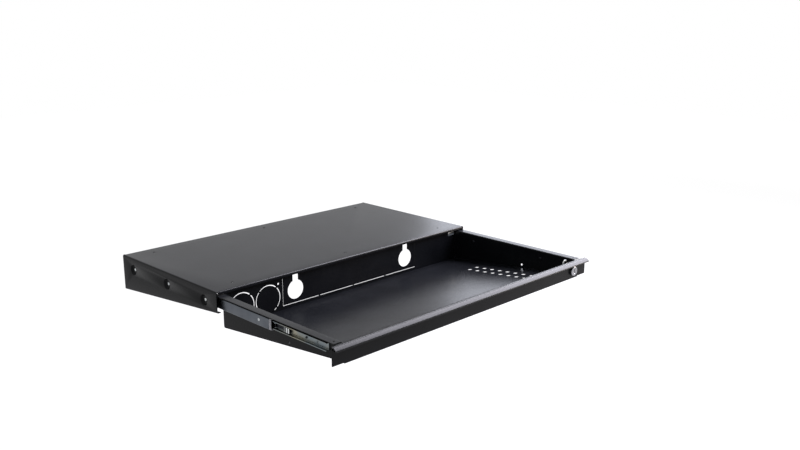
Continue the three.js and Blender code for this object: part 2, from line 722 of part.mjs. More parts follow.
function midRivet(side) {
  const shank = SLIDE_SHEET + SEAT_GAP;
  const rivet = domedPinX(-side, MID_RIVET_HEAD, MID_RIVET_HEAD_HEIGHT, MID_RIVET_DIAMETER, shank);
  return rivet.translate(
    side * (trayOuter + midWeb + SEAT_GAP / 2),
    cabinetFront + MID_RIVET_SETBACK,
    slideMiddle + MID_RIVET_RISE,
  );
}

// The leaf that frees the drawer member: a strip with two tabs and a finger pad
function releaseLever() {
  const base = trayOuter + webInner + SLIDE_SHEET + SEAT_GAP;
  const front = drawerMemberFront + LEVER_SETBACK;
  const rear = front + LEVER_LENGTH;
  const strip = block(
    base,
    base + LEVER_SHEET,
    front,
    rear,
    slideMiddle - LEVER_HEIGHT / 2,
    slideMiddle + LEVER_HEIGHT / 2,
  );
  const tabFronts = [rear - LEVER_SHEET, front + LEVER_TAB_SETBACK, front];
  const tabLengths = [LEVER_SHEET, LEVER_SHEET, LEVER_PAD_LENGTH];
  const tabs = tabFronts.map((y, i) =>
    block(
      base,
      base + LEVER_TAB_REACH,
      y,
      y + tabLengths[i],
      slideMiddle - LEVER_TAB_HEIGHT / 2,
      slideMiddle + LEVER_TAB_HEIGHT / 2,
    ),
  );
  return shaped(strip, tabs, []);
}

// A screw through the tray's wall into the drawer member, its head inside the tray
function slideScrew(side, y) {
  const shank = SEAT_GAP + TRAY_SHEET + webInner + SLIDE_SHEET + SLIDE_SCREW_PAST_WEB;
  const screw = domedPinX(side, SLIDE_SCREW_HEAD, SLIDE_SCREW_HEAD_HEIGHT, SLIDE_SCREW_DIAMETER, shank);
  return screw.translate(side * (trayInner - SEAT_GAP), y, slideMiddle);
}

// A rivet from the dimple outside the housing, flush inside the cabinet member
function cabinetRivet(side, y) {
  const face = housingOuter - PAD_HEIGHT + SEAT_GAP;
  const shank = face - trayOuter - cabinetWeb + SLIDE_SHEET;
  const rivet = domedPinX(
    -side,
    SLIDE_RIVET_HEAD,
    SLIDE_RIVET_HEAD_HEIGHT,
    SLIDE_RIVET_DIAMETER,
    shank,
  );
  return rivet.translate(side * face, y, slideMiddle);
}

// A right-hand side wall's folded section at one station: outward flange and wall
function sideOutline(y) {
  const half = TRAY_SHEET / 2;
  const corners = [
    vec2(flangeEdge, flangeTop - half),
    vec2(trayOuter - half, flangeTop - half),
    vec2(trayOuter - half, floorUnderside(y)),
  ];
  return sheetOutline(rounded(corners, TRAY_BEND + half), TRAY_SHEET);
}

// The floor's flat section at one station
function floorOutline(y) {
  const half = trayInner - SEAT_GAP;
  const [bottom, top] = [floorUnderside(y), floorTop(y)];
  return [vec2(-half, bottom), vec2(half, bottom), vec2(half, top), vec2(-half, top)];
}

// Places of the vent holes in the floor, as many in a row as the tray's depth has room for
function ventPlaces() {
  const places = [];
  const gaps = Math.floor((TRAY_DEPTH - VENT_REAR_OFFSET - VENT_FRONT_MARGIN) / VENT_PITCH);
  for (let row = 0; row < VENT_ROWS; row++) {
    for (let i = 0; i <= gaps; i++) {
      places.push(
        vec2(
          trayInner - VENT_WALL_OFFSET - row * VENT_ROW_SPACING,
          rearWallFront - VENT_REAR_OFFSET - i * VENT_PITCH,
        ),
      );
    }
  }
  return places;
}

// The gap in the rear wall, and in the tab behind it, that lets the striker pass
function strikerNotch() {
  const half = STRIKER_WIDTH / 2 + NOTCH_SIDE_CLEARANCE;
  return block(
    lockX - half,
    Math.min(lockX + half, trayInner - TRAY_BEND * 2 - TRAY_SHEET), // the corner stays closed
    rearWallFront - OVERRUN,
    trayRear + OVERRUN,
    strikerBottom - NOTCH_BOTTOM_CLEARANCE,
    flangeTop + OVERRUN,
  );
}

// The floor: a sloping plate with its vent holes, folded up behind the rear wall
function trayFloor() {
  const plate = lofted([
    { at: trayFront, outline: floorOutline(trayFront) },
    { at: trayRear, outline: floorOutline(trayRear) },
  ]);
  const half = trayInner - CORNER_TAB_WIDTH - SEAT_GAP;
  const upstand = block(
    -half,
    half,
    rearWallBack + SEAT_GAP,
    trayRear,
    floorTop(trayRear) - TRAY_SHEET / 2,
    floorTop(trayRear) + UPSTAND_HEIGHT,
  );
  const cut = ventPlaces().map((p) =>
    barZ(p.x, p.y, floorUnderside(trayRear) - OVERRUN, flangeTop - TRAY_SHEET, VENT_DIAMETER),
  );
  return shaped(plate, [upstand], cut);
}

// What rounds the lower rear corner of a side wall
function wallCornerCutter() {
  const bottom = floorUnderside(trayRear);
  const centre = vec2(trayRear - WALL_CORNER_RADIUS, bottom + WALL_CORNER_RADIUS);
  const outline = [vec2(centre.x, bottom - OVERRUN)];
  for (let k = 0; k <= BEND_STEPS; k++) {
    const angle = ((k / BEND_STEPS - 1) * Math.PI) / 2;
    outline.push(
      vec2(centre.x + Math.cos(angle) * WALL_CORNER_RADIUS, centre.y + Math.sin(angle) * WALL_CORNER_RADIUS),
    );
  }
  outline.push(vec2(trayRear + OVERRUN, centre.y), vec2(trayRear + OVERRUN, bottom - OVERRUN));
  return alongX(outline, trayInner - CORNER_TAB_WIDTH - OVERRUN, trayOuter + OVERRUN);
}

// The holes of a right-hand side wall
function sideWallHoles() {
  const [near, far] = [trayInner - OVERRUN, trayOuter + OVERRUN];
  const rivetDiameter = CORNER_RIVET_DIAMETER + HOLE_CLEARANCE * 2;
  const rivetZ = flangeTop - CORNER_RIVET_DROP;
  const screwDiameter = SLIDE_SCREW_DIAMETER + HOLE_CLEARANCE * 2;
  return [
    barZ(
      (trayOuter + flangeEdge) / 2,
      panelBack + FLANGE_HOLE_SETBACK,
      flangeTop - TRAY_SHEET - OVERRUN / 2,
      flangeTop + OVERRUN,
      FLANGE_HOLE_DIAMETER,
    ),
    barX(panelBack + DRAIN_HOLE_SETBACK, flangeTop - DRAIN_HOLE_DROP, near, far, DRAIN_HOLE_DIAMETER),
    barX(rearWallFront - CORNER_RIVET_OFFSET, rivetZ, near, far, rivetDiameter),
    barY(trayInner - CORNER_RIVET_OFFSET, rivetZ, rearWallBack, trayRear + OVERRUN, rivetDiameter),
    ...slideScrewPlaces().map((y) => barX(y, slideMiddle, near, far, screwDiameter)),
  ];
}

// One side wall: flange, wall, a tab that closes the ear in front and one behind the rear wall.
// The right-hand one also lets the striker pass.
function sideWall(side) {
  const wall = lofted([
    { at: trayFront, outline: sideOutline(trayFront) },
    { at: trayRear, outline: sideOutline(trayRear) },
  ]);
  const tabTop = flangeTop - TRAY_SHEET / 2;
  const tabFront = rearWallBack + SEAT_GAP;
  const wallMiddle = trayInner + TRAY_SHEET / 2;
  const earBottom = floorUnderside(trayFront) + EAR_STEP;
  const joined = [
    block(wallMiddle, flangeEdge, trayFront, trayFront + TRAY_SHEET, earBottom, tabTop),
    block(
      trayInner - CORNER_TAB_WIDTH,
      wallMiddle,
      tabFront,
      trayRear,
      floorTop(tabFront) + SEAT_GAP,
      tabTop,
    ),
  ];
  const cut = [
    wallCornerCutter(),
    block(
      trayInner - OVERRUN,
      flangeEdge + OVERRUN,
      trayFront - OVERRUN,
      panelBack + RAIL_BACK + SEAT_GAP,
      railUnderside,
      flangeTop + OVERRUN,
    ),
    ...sideWallHoles(),
  ];
  if (side > 0) cut.push(strikerNotch());
  return toSide(shaped(wall, joined, cut), side);
}

// A slit along an arc, as a cutter through the rear wall. Angles are in degrees.
function arcSlit(x, z, from, to) {
  const radius = KNOCKOUT_DIAMETER / 2;
  const shape = new THREE.Shape();
  const [a, b] = [THREE.MathUtils.degToRad(from), THREE.MathUtils.degToRad(to)];
  shape.absarc(x, z, radius, a, b, false);
  shape.absarc(x, z, radius - KNOCKOUT_SLIT, b, a, true);
  const points = shape.getPoints(KNOCKOUT_STEPS);
  return alongY(points, rearWallFront - OVERRUN, rearWallBack + OVERRUN);
}

// The four slits round one knock-out, with bridges at the diagonals
function knockoutSlits(x) {
  const z = flangeTop - KNOCKOUT_DROP;
  const turn = 360 / KNOCKOUT_SLITS;
  const bridge = THREE.MathUtils.radToDeg(KNOCKOUT_BRIDGE / (KNOCKOUT_DIAMETER / 2));
  return Array.from({ length: KNOCKOUT_SLITS }, (_, i) =>
    arcSlit(x, z, turn * (i - 1 / 2) + bridge / 2, turn * (i + 1 / 2) - bridge / 2),
  );
}

// The slits that outline the break-out flap, with bridges along the bottom and at the top
function flapSlits() {
  const [front, back] = [rearWallFront - OVERRUN, rearWallBack + OVERRUN];
  const bottom = flangeTop - FLAP_HEIGHT;
  const slits = [-1, 1].map((side) =>
    block(
      side * flapHalf - FLAP_SIDE_SLIT / 2,
      side * flapHalf + FLAP_SIDE_SLIT / 2,
      front,
      back,
      bottom,
      flangeTop - FLAP_TOP_BRIDGE,
    ),
  );
  const pitch = (flapHalf * 2) / (FLAP_BRIDGES + 1);
  for (let i = 0; i <= FLAP_BRIDGES; i++) {
    const start = -flapHalf + pitch * i + (i > 0 ? FLAP_BRIDGE / 2 : 0);
    const end = -flapHalf + pitch * (i + 1) - (i < FLAP_BRIDGES ? FLAP_BRIDGE / 2 : 0);
    slits.push(block(start, end, front, back, bottom, bottom + FLAP_SLIT));
  }
  return slits;
}

// A cable port: a round hole with a neck that is open at the wall's top edge
function keyhole(x) {
  const [front, back] = [rearWallFront - OVERRUN, rearWallBack + OVERRUN];
  const z = flangeTop - KEYHOLE_DROP;
  const neck = KEYHOLE_NECK / 2;
  return [
    barY(x, z, front, back, KEYHOLE_DIAMETER, KEYHOLE_STEPS),
    block(x - neck, x + neck, front, back, z, flangeTop + OVERRUN),
  ];
}

function rearWall() {
  const half = TRAY_SHEET / 2;
  const side = trayInner - SEAT_GAP - half;
  const wall = rearWallFront + half;
  const flangeFront = rearWallFront - REAR_FLANGE;
  const corners = [
    vec2(-side, flangeFront),
    vec2(-side, wall),
    vec2(side, wall),
    vec2(side, flangeFront),
  ];
  const outline = sheetOutline(rounded(corners, TRAY_BEND + half), TRAY_SHEET);
  const bottom = floorTop(flangeFront) - OVERRUN - REAR_FLANGE * floorSlope;
  const sheet = alongZ(outline, bottom, flangeTop);
  const floorCutter = alongX(
    [
      vec2(flangeFront - OVERRUN, floorTop(flangeFront - OVERRUN) + SEAT_GAP),
      vec2(trayRear, floorTop(trayRear) + SEAT_GAP),
      vec2(trayRear, floorTop(trayRear) - OVERRUN * 2),
      vec2(flangeFront - OVERRUN, floorTop(trayRear) - OVERRUN * 2),
    ],
    -trayOuter,
    trayOuter,
  );
  const firstKnockout = -trayInner + KNOCKOUT_WALL_OFFSET;
  const secondKnockout = firstKnockout + KNOCKOUT_PITCH;
  const cut = [
    floorCutter,
    ...knockoutSlits(firstKnockout),
    ...knockoutSlits(secondKnockout),
    ...flapSlits(),
    ...keyhole(-keyholeX),
    ...keyhole(keyholeX),
    barY(
      secondKnockout + PILOT_HOLE_OFFSET,
      flangeTop - PILOT_HOLE_DROP,
      rearWallFront - OVERRUN,
      rearWallBack + OVERRUN,
      PILOT_HOLE_DIAMETER,
    ),
    strikerNotch(),
  ];
  const holeDiameter = CORNER_RIVET_DIAMETER + HOLE_CLEARANCE * 2;
  for (const s of [-1, 1]) {
    cut.push(
      barY(
        s * (trayInner - CORNER_RIVET_OFFSET),
        flangeTop - CORNER_RIVET_DROP,
        rearWallFront - OVERRUN,
        rearWallBack + OVERRUN,
        holeDiameter,
      ),
      barX(
        rearWallFront - CORNER_RIVET_OFFSET,
        flangeTop - CORNER_RIVET_DROP,
        s * (trayInner - TRAY_SHEET - OVERRUN),
        s * trayOuter,
        holeDiameter,
      ),
    );
  }
  return shaped(sheet, [], cut);
}

// A corner rivet through the rear wall and the tab behind it
function rearRivet(side) {
  const shank = trayRear - rearWallFront + SEAT_GAP;
  const rivet = domedPin(CORNER_RIVET_HEAD, CORNER_RIVET_HEAD_HEIGHT, CORNER_RIVET_DIAMETER, shank);
  return rivet.translate(
    side * (trayInner - CORNER_RIVET_OFFSET),
    rearWallFront - SEAT_GAP / 2,
    flangeTop - CORNER_RIVET_DROP,
  );
}

// A corner rivet through the rear wall's flange and the side wall
function sideRivet(side) {
  const face = trayInner - SEAT_GAP - TRAY_SHEET - SEAT_GAP / 2;
  const shank = trayOuter - face;
  const rivet = domedPinX(
    side,
    CORNER_RIVET_HEAD,
    CORNER_RIVET_HEAD_HEIGHT,
    CORNER_RIVET_DIAMETER,
    shank,
  );
  return rivet.translate(
    side * face,
    rearWallFront - CORNER_RIVET_OFFSET,
    flangeTop - CORNER_RIVET_DROP,
  );
}

// The front sheet, deeper between the tray walls, with its bottom edge folded back under the
// floor
function frontPanel() {
  const underFloor = floorUnderside(panelBack) - SEAT_GAP;
  const middleBottom = underFloor - PANEL_SHEET;
  const earBottom = middleBottom + EAR_STEP;
  const corners = [
    vec2(-panelHalf, railUnderside),
    vec2(panelHalf, railUnderside),
    vec2(panelHalf, earBottom),
    vec2(trayOuter, earBottom),
    vec2(trayOuter, middleBottom),
    vec2(-trayOuter, middleBottom),
    vec2(-trayOuter, earBottom),
    vec2(-panelHalf, earBottom),
  ];
  const face = alongY(corners, panelFace, panelBack);
  const returnRear = panelBack + PANEL_RETURN;
  const foot = [
    vec2(panelBack - PANEL_SHEET / 2, underFloor),
    vec2(panelBack, underFloor),
    vec2(returnRear, floorUnderside(returnRear) - SEAT_GAP),
    vec2(returnRear, floorUnderside(returnRear) - SEAT_GAP - PANEL_SHEET),
    vec2(panelBack - PANEL_SHEET / 2, middleBottom),
  ];
  const hole = barY(
    lockX,
    lockZ,
    panelFace - OVERRUN,
    panelBack + OVERRUN,
    LOCK_BODY_DIAMETER + HOLE_CLEARANCE * 2,
    LOCK_STEPS,
  );
  const footHalf = trayOuter - PANEL_RETURN_INSET;
  return shaped(face, [alongX(foot, -footHalf, footHalf)], [hole]);
}

// The grip rail: flat band, shallow groove and a rounded hemmed nose, over the whole panel
function gripRail() {
  const half = RAIL_SHEET / 2;
  const top = flangeTop - half;
  const nose = panelFace - RAIL_FORWARD + half;
  const groove = nose - half + GROOVE_SETBACK;
  const hemBottom = flangeTop - RAIL_NOSE_HEIGHT + half;
  const bend = (top - hemBottom) / 2;
  const points = [
    vec2(panelBack + RAIL_BACK, top),
    vec2(groove + GROOVE_WIDTH / 2, top),
    vec2(groove, top - GROOVE_DEPTH),
    vec2(groove - GROOVE_WIDTH / 2, top),
    ...rounded(
      [
        vec2(groove - GROOVE_WIDTH, top),
        vec2(nose, top),
        vec2(nose, hemBottom),
        vec2(nose + RAIL_HEM, hemBottom),
      ],
      bend,
    ),
  ];
  const rail = alongX(sheetOutline(points, RAIL_SHEET), -panelHalf, panelHalf);
  const cut = [-1, 1].map((side) =>
    block(
      Math.min(side * flangeEdge, side * (panelHalf + OVERRUN)),
      Math.max(side * flangeEdge, side * (panelHalf + OVERRUN)),
      panelBack,
      panelBack + RAIL_BACK + OVERRUN,
      railUnderside - OVERRUN,
      flangeTop + OVERRUN,
    ),
  );
  return shaped(rail, [], cut);
}

// The lock's fixed barrel: a chamfered head and a body through the panel, bored for the plug
function lockBarrel() {
  const bore = LOCK_PLUG_DIAMETER / 2 + HOLE_CLEARANCE;
  const head = LOCK_HEAD_DIAMETER / 2;
  const headBack = panelFace - SEAT_GAP;
  const headFront = headBack - LOCK_HEAD_HEIGHT;
  const body = LOCK_BODY_DIAMETER / 2;
  const profile = [
    vec2(bore, headFront),
    vec2(head - LOCK_HEAD_CHAMFER, headFront),
    vec2(head, headFront + LOCK_HEAD_CHAMFER),
    vec2(head, headBack),
    vec2(body, headBack),
    vec2(body, lockBodyRear),
    vec2(bore, lockBodyRear),
    vec2(bore, headFront),
  ];
  return new THREE.LatheGeometry(profile, LOCK_STEPS).translate(lockX, 0, lockZ);
}

function lockNut() {
  const front = panelBack + SEAT_GAP;
  const across = LOCK_NUT_WIDTH / Math.cos(Math.PI / HEX_SIDES);
  const hexagon = barY(lockX, lockZ, front, front + LOCK_NUT_THICKNESS, across, HEX_SIDES);
  const bore = LOCK_BODY_DIAMETER + HOLE_CLEARANCE * 2;
  const [near, far] = [front - OVERRUN, front + LOCK_NUT_THICKNESS + OVERRUN];
  const hole = barY(lockX, lockZ, near, far, bore, LOCK_STEPS);
  return shaped(hexagon, [], [hole]);
}

// The turning plug: a cylinder with a keyway, and a square end that drives the cam
function lockPlug() {
  const front = panelFace - SEAT_GAP - LOCK_HEAD_HEIGHT + LOCK_PLUG_SINK;
  const body = barY(lockX, lockZ, front, lockBodyRear, LOCK_PLUG_DIAMETER, LOCK_STEPS);
  const half = CAM_SQUARE / 2;
  const square = block(
    lockX - half,
    lockX + half,
    lockBodyRear - OVERRUN,
    camFront + CAM_SHEET,
    lockZ - half,
    lockZ + half,
  );
  const keyway = block(
    lockX - KEYWAY_WIDTH / 2,
    lockX + KEYWAY_WIDTH / 2,
    front - OVERRUN,
    front + KEYWAY_DEPTH,
    lockZ - KEYWAY_HEIGHT / 2,
    lockZ + KEYWAY_HEIGHT / 2,
  );
  const screwHole = barY(
    lockX,
    lockZ,
    camFront + CAM_SHEET + SEAT_GAP - CAM_SCREW_LENGTH - OVERRUN / 2,
    camFront + CAM_SHEET + OVERRUN,
    CAM_SCREW_DIAMETER + HOLE_CLEARANCE * 2,
  );
  return shaped(body, [square], [keyway, screwHole]);
}

// The cam: a hub with a hook that stands up, its mouth to the right
function lockCam() {
  const [front, back] = [camFront, camFront + CAM_SHEET];
  const hub = barY(lockX, lockZ, front, back, CAM_HUB_DIAMETER, LOCK_STEPS);
  const hookX = lockX - CAM_HOOK_SHIFT;
  const hookZ = lockZ + CAM_HOOK_RISE;
  const open = THREE.MathUtils.degToRad(CAM_MOUTH_ANGLE);
  const ring = new THREE.Shape();
  ring.absarc(hookX, hookZ, CAM_HOOK_DIAMETER / 2, open, Math.PI * 2 - open, false);
  ring.absarc(hookX, hookZ, CAM_MOUTH_DIAMETER / 2, Math.PI * 2 - open, open, true);
  const hook = alongY(ring.getPoints(ROUND_STEPS), front, back);
  const arm = block(
    lockX - CAM_ARM_WIDTH / 2,
    lockX + CAM_ARM_WIDTH / 2,
    front,
    back,
    lockZ + CAM_SQUARE / 2 + CAM_SHEET,
    hookZ - CAM_MOUTH_DIAMETER / 2,
  );
  const half = CAM_SQUARE / 2 + HOLE_CLEARANCE;
  const square = block(
    lockX - half,
    lockX + half,
    front - OVERRUN,
    back + OVERRUN,
    lockZ - half,
    lockZ + half,
  );
  return shaped(hub, [hook, arm], [square]);
}

function camScrew() {
  const seat = camFront + CAM_SHEET + SEAT_GAP;
  const screw = domedPin(CAM_SCREW_HEAD, CAM_SCREW_HEAD_HEIGHT, CAM_SCREW_DIAMETER, CAM_SCREW_LENGTH);
  return screw.rotateX(Math.PI).translate(lockX, seat, lockZ);
}

const sides = [
  { name: "left", side: -1 },
  { name: "right", side: 1 },
];

// What stays in place when the drawer moves
function housingGroup() {
  const group = new THREE.Group();
  group.add(piece("housing_shell", housingShell(), "powderCoat"));
  group.add(piece("lock_striker", lockStriker(), "zinc"));
  for (const { name, side } of sides) {
    group.add(piece(`slide_cabinet_${name}`, toSide(cabinetMember(), side), "darkZinc"));
    slideRivetPlaces().forEach((y, i) => {
      group.add(piece(`cabinet_rivet_${name}_${i + 1}`, cabinetRivet(side, y), "zinc"));
    });
  }
  return group;
}

// One side's mid member, which follows the drawer at half its travel
function midGroup({ name, side }) {
  const group = new THREE.Group();
  group.add(piece(`slide_mid_${name}`, toSide(midMember(), side), "darkZinc"));
  group.add(piece(`mid_bumper_${name}`, toSide(midBumper(), side), "greyPlastic"));
  group.add(piece(`mid_rivet_${name}`, midRivet(side), "zinc"));
  group.position.y = -slideTravel * mid_travel_share;
  return group;
}

// One side's two ball cages, each halfway between the members that it rolls on
function cageGroup({ name, side }) {
  const group = new THREE.Group();
  const outer = piece(`ball_cage_outer_${name}`, toSide(outerCage(), side), "steelBall");
  outer.position.y = -slideTravel * outer_cage_travel_share;
  const inner = piece(`ball_cage_inner_${name}`, toSide(innerCage(), side), "steelBall");
  inner.position.y = -slideTravel * inner_cage_travel_share;
  group.add(outer, inner);
  return group;
}

// The drawer: floor, walls, panel, rail, its slide members and their fasteners
function drawerGroup() {
  const group = new THREE.Group();
  group.add(piece("tray_floor", trayFloor(), "powderCoat"));
  group.add(piece("tray_rear_wall", rearWall(), "powderCoat"));
  group.add(piece("front_panel", frontPanel(), "powderCoat"));
  group.add(piece("grip_rail", gripRail(), "powderCoat"));
  for (const { name, side } of sides) {
    group.add(piece(`side_wall_${name}`, sideWall(side), "powderCoat"));
    group.add(piece(`slide_drawer_${name}`, toSide(drawerMember(), side), "zinc"));
    group.add(piece(`release_lever_${name}`, toSide(releaseLever(), side), "polished"));
    slideScrewPlaces().forEach((y, i) => {
      group.add(piece(`slide_screw_${name}_${i + 1}`, slideScrew(side, y), "zinc"));
    });
    group.add(piece(`corner_rivet_rear_${name}`, rearRivet(side), "powderCoat"));
    group.add(piece(`corner_rivet_side_${name}`, sideRivet(side), "powderCoat"));
  }
  group.add(piece("lock_barrel", lockBarrel(), "polished"));
  group.add(piece("lock_nut", lockNut(), "zinc"));
  group.add(lockCylinderGroup());
  group.position.y = -slideTravel;
  return group;
}

// What the key turns
function lockCylinderGroup() {
  const group = new THREE.Group();
  group.add(piece("lock_plug", lockPlug(), "polished"));
  group.add(piece("lock_cam", lockCam(), "zinc"));
  group.add(piece("lock_cam_screw", camScrew(), "zinc"));
  return group;
}

const drawerSafe = new THREE.Group();
drawerSafe.add(housingGroup());
for (const side of sides) {
  drawerSafe.add(midGroup(side));
  drawerSafe.add(cageGroup(side));
}
drawerSafe.add(drawerGroup());

export default drawerSafe;
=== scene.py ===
"""Dresses the lockable drawer safe: powder-coated sheet steel on telescopic ball slides.

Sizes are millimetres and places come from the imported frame's nodes. +X is the user's right, +Y
the rear and +Z up. Every surface is worked out as whole numpy arrays, then put into a mesh.
"""
from __future__ import annotations

import json
import logging
import math
from collections.abc import Sequence
from dataclasses import dataclass, field, replace
from enum import Enum

import bmesh
import bpy
import numpy as np
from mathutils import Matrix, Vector

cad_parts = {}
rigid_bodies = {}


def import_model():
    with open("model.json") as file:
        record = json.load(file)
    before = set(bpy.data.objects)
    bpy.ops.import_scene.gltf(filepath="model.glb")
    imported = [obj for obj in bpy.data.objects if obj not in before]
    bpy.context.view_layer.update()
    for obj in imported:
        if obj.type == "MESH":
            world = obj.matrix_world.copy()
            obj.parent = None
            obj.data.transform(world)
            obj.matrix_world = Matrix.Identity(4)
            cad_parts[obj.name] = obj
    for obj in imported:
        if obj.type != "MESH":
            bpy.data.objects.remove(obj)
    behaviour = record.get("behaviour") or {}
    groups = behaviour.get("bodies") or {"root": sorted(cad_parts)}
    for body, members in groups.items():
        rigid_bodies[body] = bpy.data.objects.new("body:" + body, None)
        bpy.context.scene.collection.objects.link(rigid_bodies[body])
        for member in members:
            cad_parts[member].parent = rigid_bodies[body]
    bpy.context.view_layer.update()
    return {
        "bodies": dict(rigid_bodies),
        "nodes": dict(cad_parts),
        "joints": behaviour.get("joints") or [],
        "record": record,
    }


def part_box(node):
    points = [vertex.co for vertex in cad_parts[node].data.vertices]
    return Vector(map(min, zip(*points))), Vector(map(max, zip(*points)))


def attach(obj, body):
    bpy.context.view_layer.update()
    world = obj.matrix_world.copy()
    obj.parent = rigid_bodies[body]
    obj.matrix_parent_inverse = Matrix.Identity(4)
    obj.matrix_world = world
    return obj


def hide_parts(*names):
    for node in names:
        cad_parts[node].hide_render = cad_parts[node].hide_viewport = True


LOG = logging.getLogger("drawer_safe")
MM = 0.001
SEAT_GAP = 0.3  # between two pieces that rest on each other
HOLE_CLEARANCE = 0.15  # around a shank, on the radius
OVERRUN = 2.0  # how far a cutter passes a face
SAME_PLACE = 0.05  # points this near to a place along Y count as being there
DOUBLE = 1e-7  # two points this near, in metres, are merged
FLAT = math.radians(0.1)  # faces that turn by less are joined
SHARP = math.radians(32)  # edges that turn by more are rounded or stay sharp
SIDES = {"left": -1, "right": 1}
Pair = tuple[float, float]
Triple = tuple[float, float, float]


# Surfaces


class Axis(Enum):
    """Direction in which a section runs: where its u, its v and its run go."""

    X = (1, 2, 0)
    Y = (0, 2, 1)
    Z = (0, 1, 2)

    def place(self, u: np.ndarray, v: np.ndarray, run: np.ndarray | float) -> np.ndarray:
        """Points for section coordinates u and v at places along the run, x, y and z last."""
        u, v, run = np.broadcast_arrays(u, v, run)
        points = np.empty((*u.shape, 3))
        for column, values in zip(self.value, (u, v, run)):
            points[..., column] = values
        return points


@dataclass
class Surface:
    """A closed surface: points in mm and the faces between them."""

    points: np.ndarray
    faces: list[list[int]]

    def moved(self, x: float, y: float, z: float) -> Surface:
        """The same surface at another place."""
        return Surface(self.points + np.array([x, y, z]), self.faces)

    def on_side(self, side: int) -> Surface:
        """The right-hand surface, mirrored when the side is the left one."""
        if side > 0:
            return self
        return Surface(self.points * [-1, 1, 1], [f[::-1] for f in self.faces])

    def heading(self, side: int) -> Surface:
        """Turns what points along +Y so that it points along X towards the given side."""
        x, y, z = self.points.T
        return Surface(np.stack([side * y, -side * x, z], 1), self.faces)

    def half_turned(self) -> Surface:
        """Turns what points along +Y so that it points along -Y."""
        return Surface(self.points * [-1, -1, 1], self.faces)

    def at_each(self, places: np.ndarray) -> Surface:
        """Copies of this surface at each of the given places."""
        count = len(self.points)
        points = (places[:, None, :] + self.points[None]).reshape(-1, 3)
        faces = [[k * count + i for i in face] for k in range(len(places)) for face in self.faces]
        return Surface(points, faces)


def grid_faces(rows: int, columns: int, ring: bool) -> list[list[int]]:
    """Quads of a grid that is closed along its columns, and along its rows when it is a ring."""
    r = np.arange(rows if ring else rows - 1)[:, None]
    c = np.arange(columns)[None, :]
    below, beside = (r + 1) % rows, (c + 1) % columns
    corners = [r * columns + c, r * columns + beside, below * columns + beside, below * columns + c]
    return np.stack(corners, -1).reshape(-1, 4).tolist()


def bar(
    section: np.ndarray, start: float, end: float, axis: Axis, last: np.ndarray | None = None
) -> Surface:
    """A section carried straight along an axis, into another like section if one is given."""
    ends = (section, start), (section if last is None else last, end)
    points = np.concatenate([axis.place(*outline.T, at) for outline, at in ends])
    size = len(section)
    caps = [list(range(size))[::-1], list(range(size, 2 * size))]
    return Surface(points, grid_faces(2, size, ring=False) + caps)


def block(corner: Triple, opposite: Triple) -> Surface:
    """A box between two opposite corners."""
    (x0, y0, z0), (x1, y1, z1) = corner, opposite
    return bar(np.array([[x0, z0], [x1, z0], [x1, z1], [x0, z1]]), y0, y1, Axis.Y)


def turned(
    radius: np.ndarray,
    along: np.ndarray,
    centre: Pair = (0.0, 0.0),
    axis: Axis = Axis.Y,
    steps: int = 32,
    ring: bool = False,
) -> Surface:
    """A surface of revolution, or one whose radius also changes with the angle.

    With the angle t going once round, a point is (cu + r cos t, cv + r sin t) at the place s
    along the axis. Rows of radius 0 close into poles when the mesh merges its doubles.

    Args:
        radius: radii by row, or by row and angle.
        along: the place of each row along the axis.
        centre: where the axis passes through the section plane.
        axis: the direction that it runs in.
        steps: angles round the axis.
        ring: whether the last row joins the first, as on a bored piece.
    """
    angle = np.arange(steps) * math.tau / steps
    radius = np.asarray(radius, float)
    radius = radius[:, None] if radius.ndim == 1 else radius
    radius = np.broadcast_to(radius, (len(along), steps))
    run = np.asarray(along, float)[:, None]
    u, v = centre[0] + radius * np.cos(angle), centre[1] + radius * np.sin(angle)
    return Surface(axis.place(u, v, run).reshape(-1, 3), grid_faces(len(along), steps, ring))


def rod(
    diameter: float, start: float, end: float, centre: Pair, axis: Axis, steps: int = 40
) -> Surface:
    """A plain round bar, mostly used to bore holes."""
    half = diameter / 2
    return turned([0, half, half, 0], [start, start, end, end], centre, axis, steps)


def clear_hole(shank: float) -> float:
    """Diameter of the hole for a shank."""
    return shank + 2 * HOLE_CLEARANCE


def unit(vector: np.ndarray) -> np.ndarray:
    """The vector at length one."""
    return vector / np.linalg.norm(vector)


def arc(start: float, end: float, count: int) -> np.ndarray:
    """Points of the unit circle from one angle to another."""
    turn = np.linspace(start, end, count)
    return np.stack([np.cos(turn), np.sin(turn)], 1)


def rounded(corners: np.ndarray, radius: float, steps: int = 8) -> np.ndarray:
    """An open path with its inner corners rounded by arcs of as many facets as steps.

    With unit directions a and b from a corner c to its neighbours and h half the angle between
    them, the arc's centre is c + r (a + b) / (|a + b| sin h), and it starts at c + r a / tan h.
    """
    corners = np.asarray(corners, float)
    pieces = [corners[:1]]
    for before, corner, after in zip(corners[:-2], corners[1:-1], corners[2:]):
        back, ahead = unit(before - corner), unit(after - corner)
        half = math.acos(float(np.clip(back @ ahead, -1, 1))) / 2
        centre = corner + unit(back + ahead) * radius / math.sin(half)
        start = corner + back * radius / math.tan(half) - centre
        end = corner + ahead * radius / math.tan(half) - centre
        sweep = math.atan2(start[0] * end[1] - start[1] * end[0], float(start @ end))
        cos, sin = arc(0, sweep, steps + 1).T
        bend = np.stack([start[0] * cos - start[1] * sin, start[0] * sin + start[1] * cos], 1)
        pieces.append(centre + bend)
    path = np.concatenate([*pieces, corners[-1:]])
    return path[np.r_[True, np.linalg.norm(np.diff(path, axis=0), axis=1) > 1e-5]]


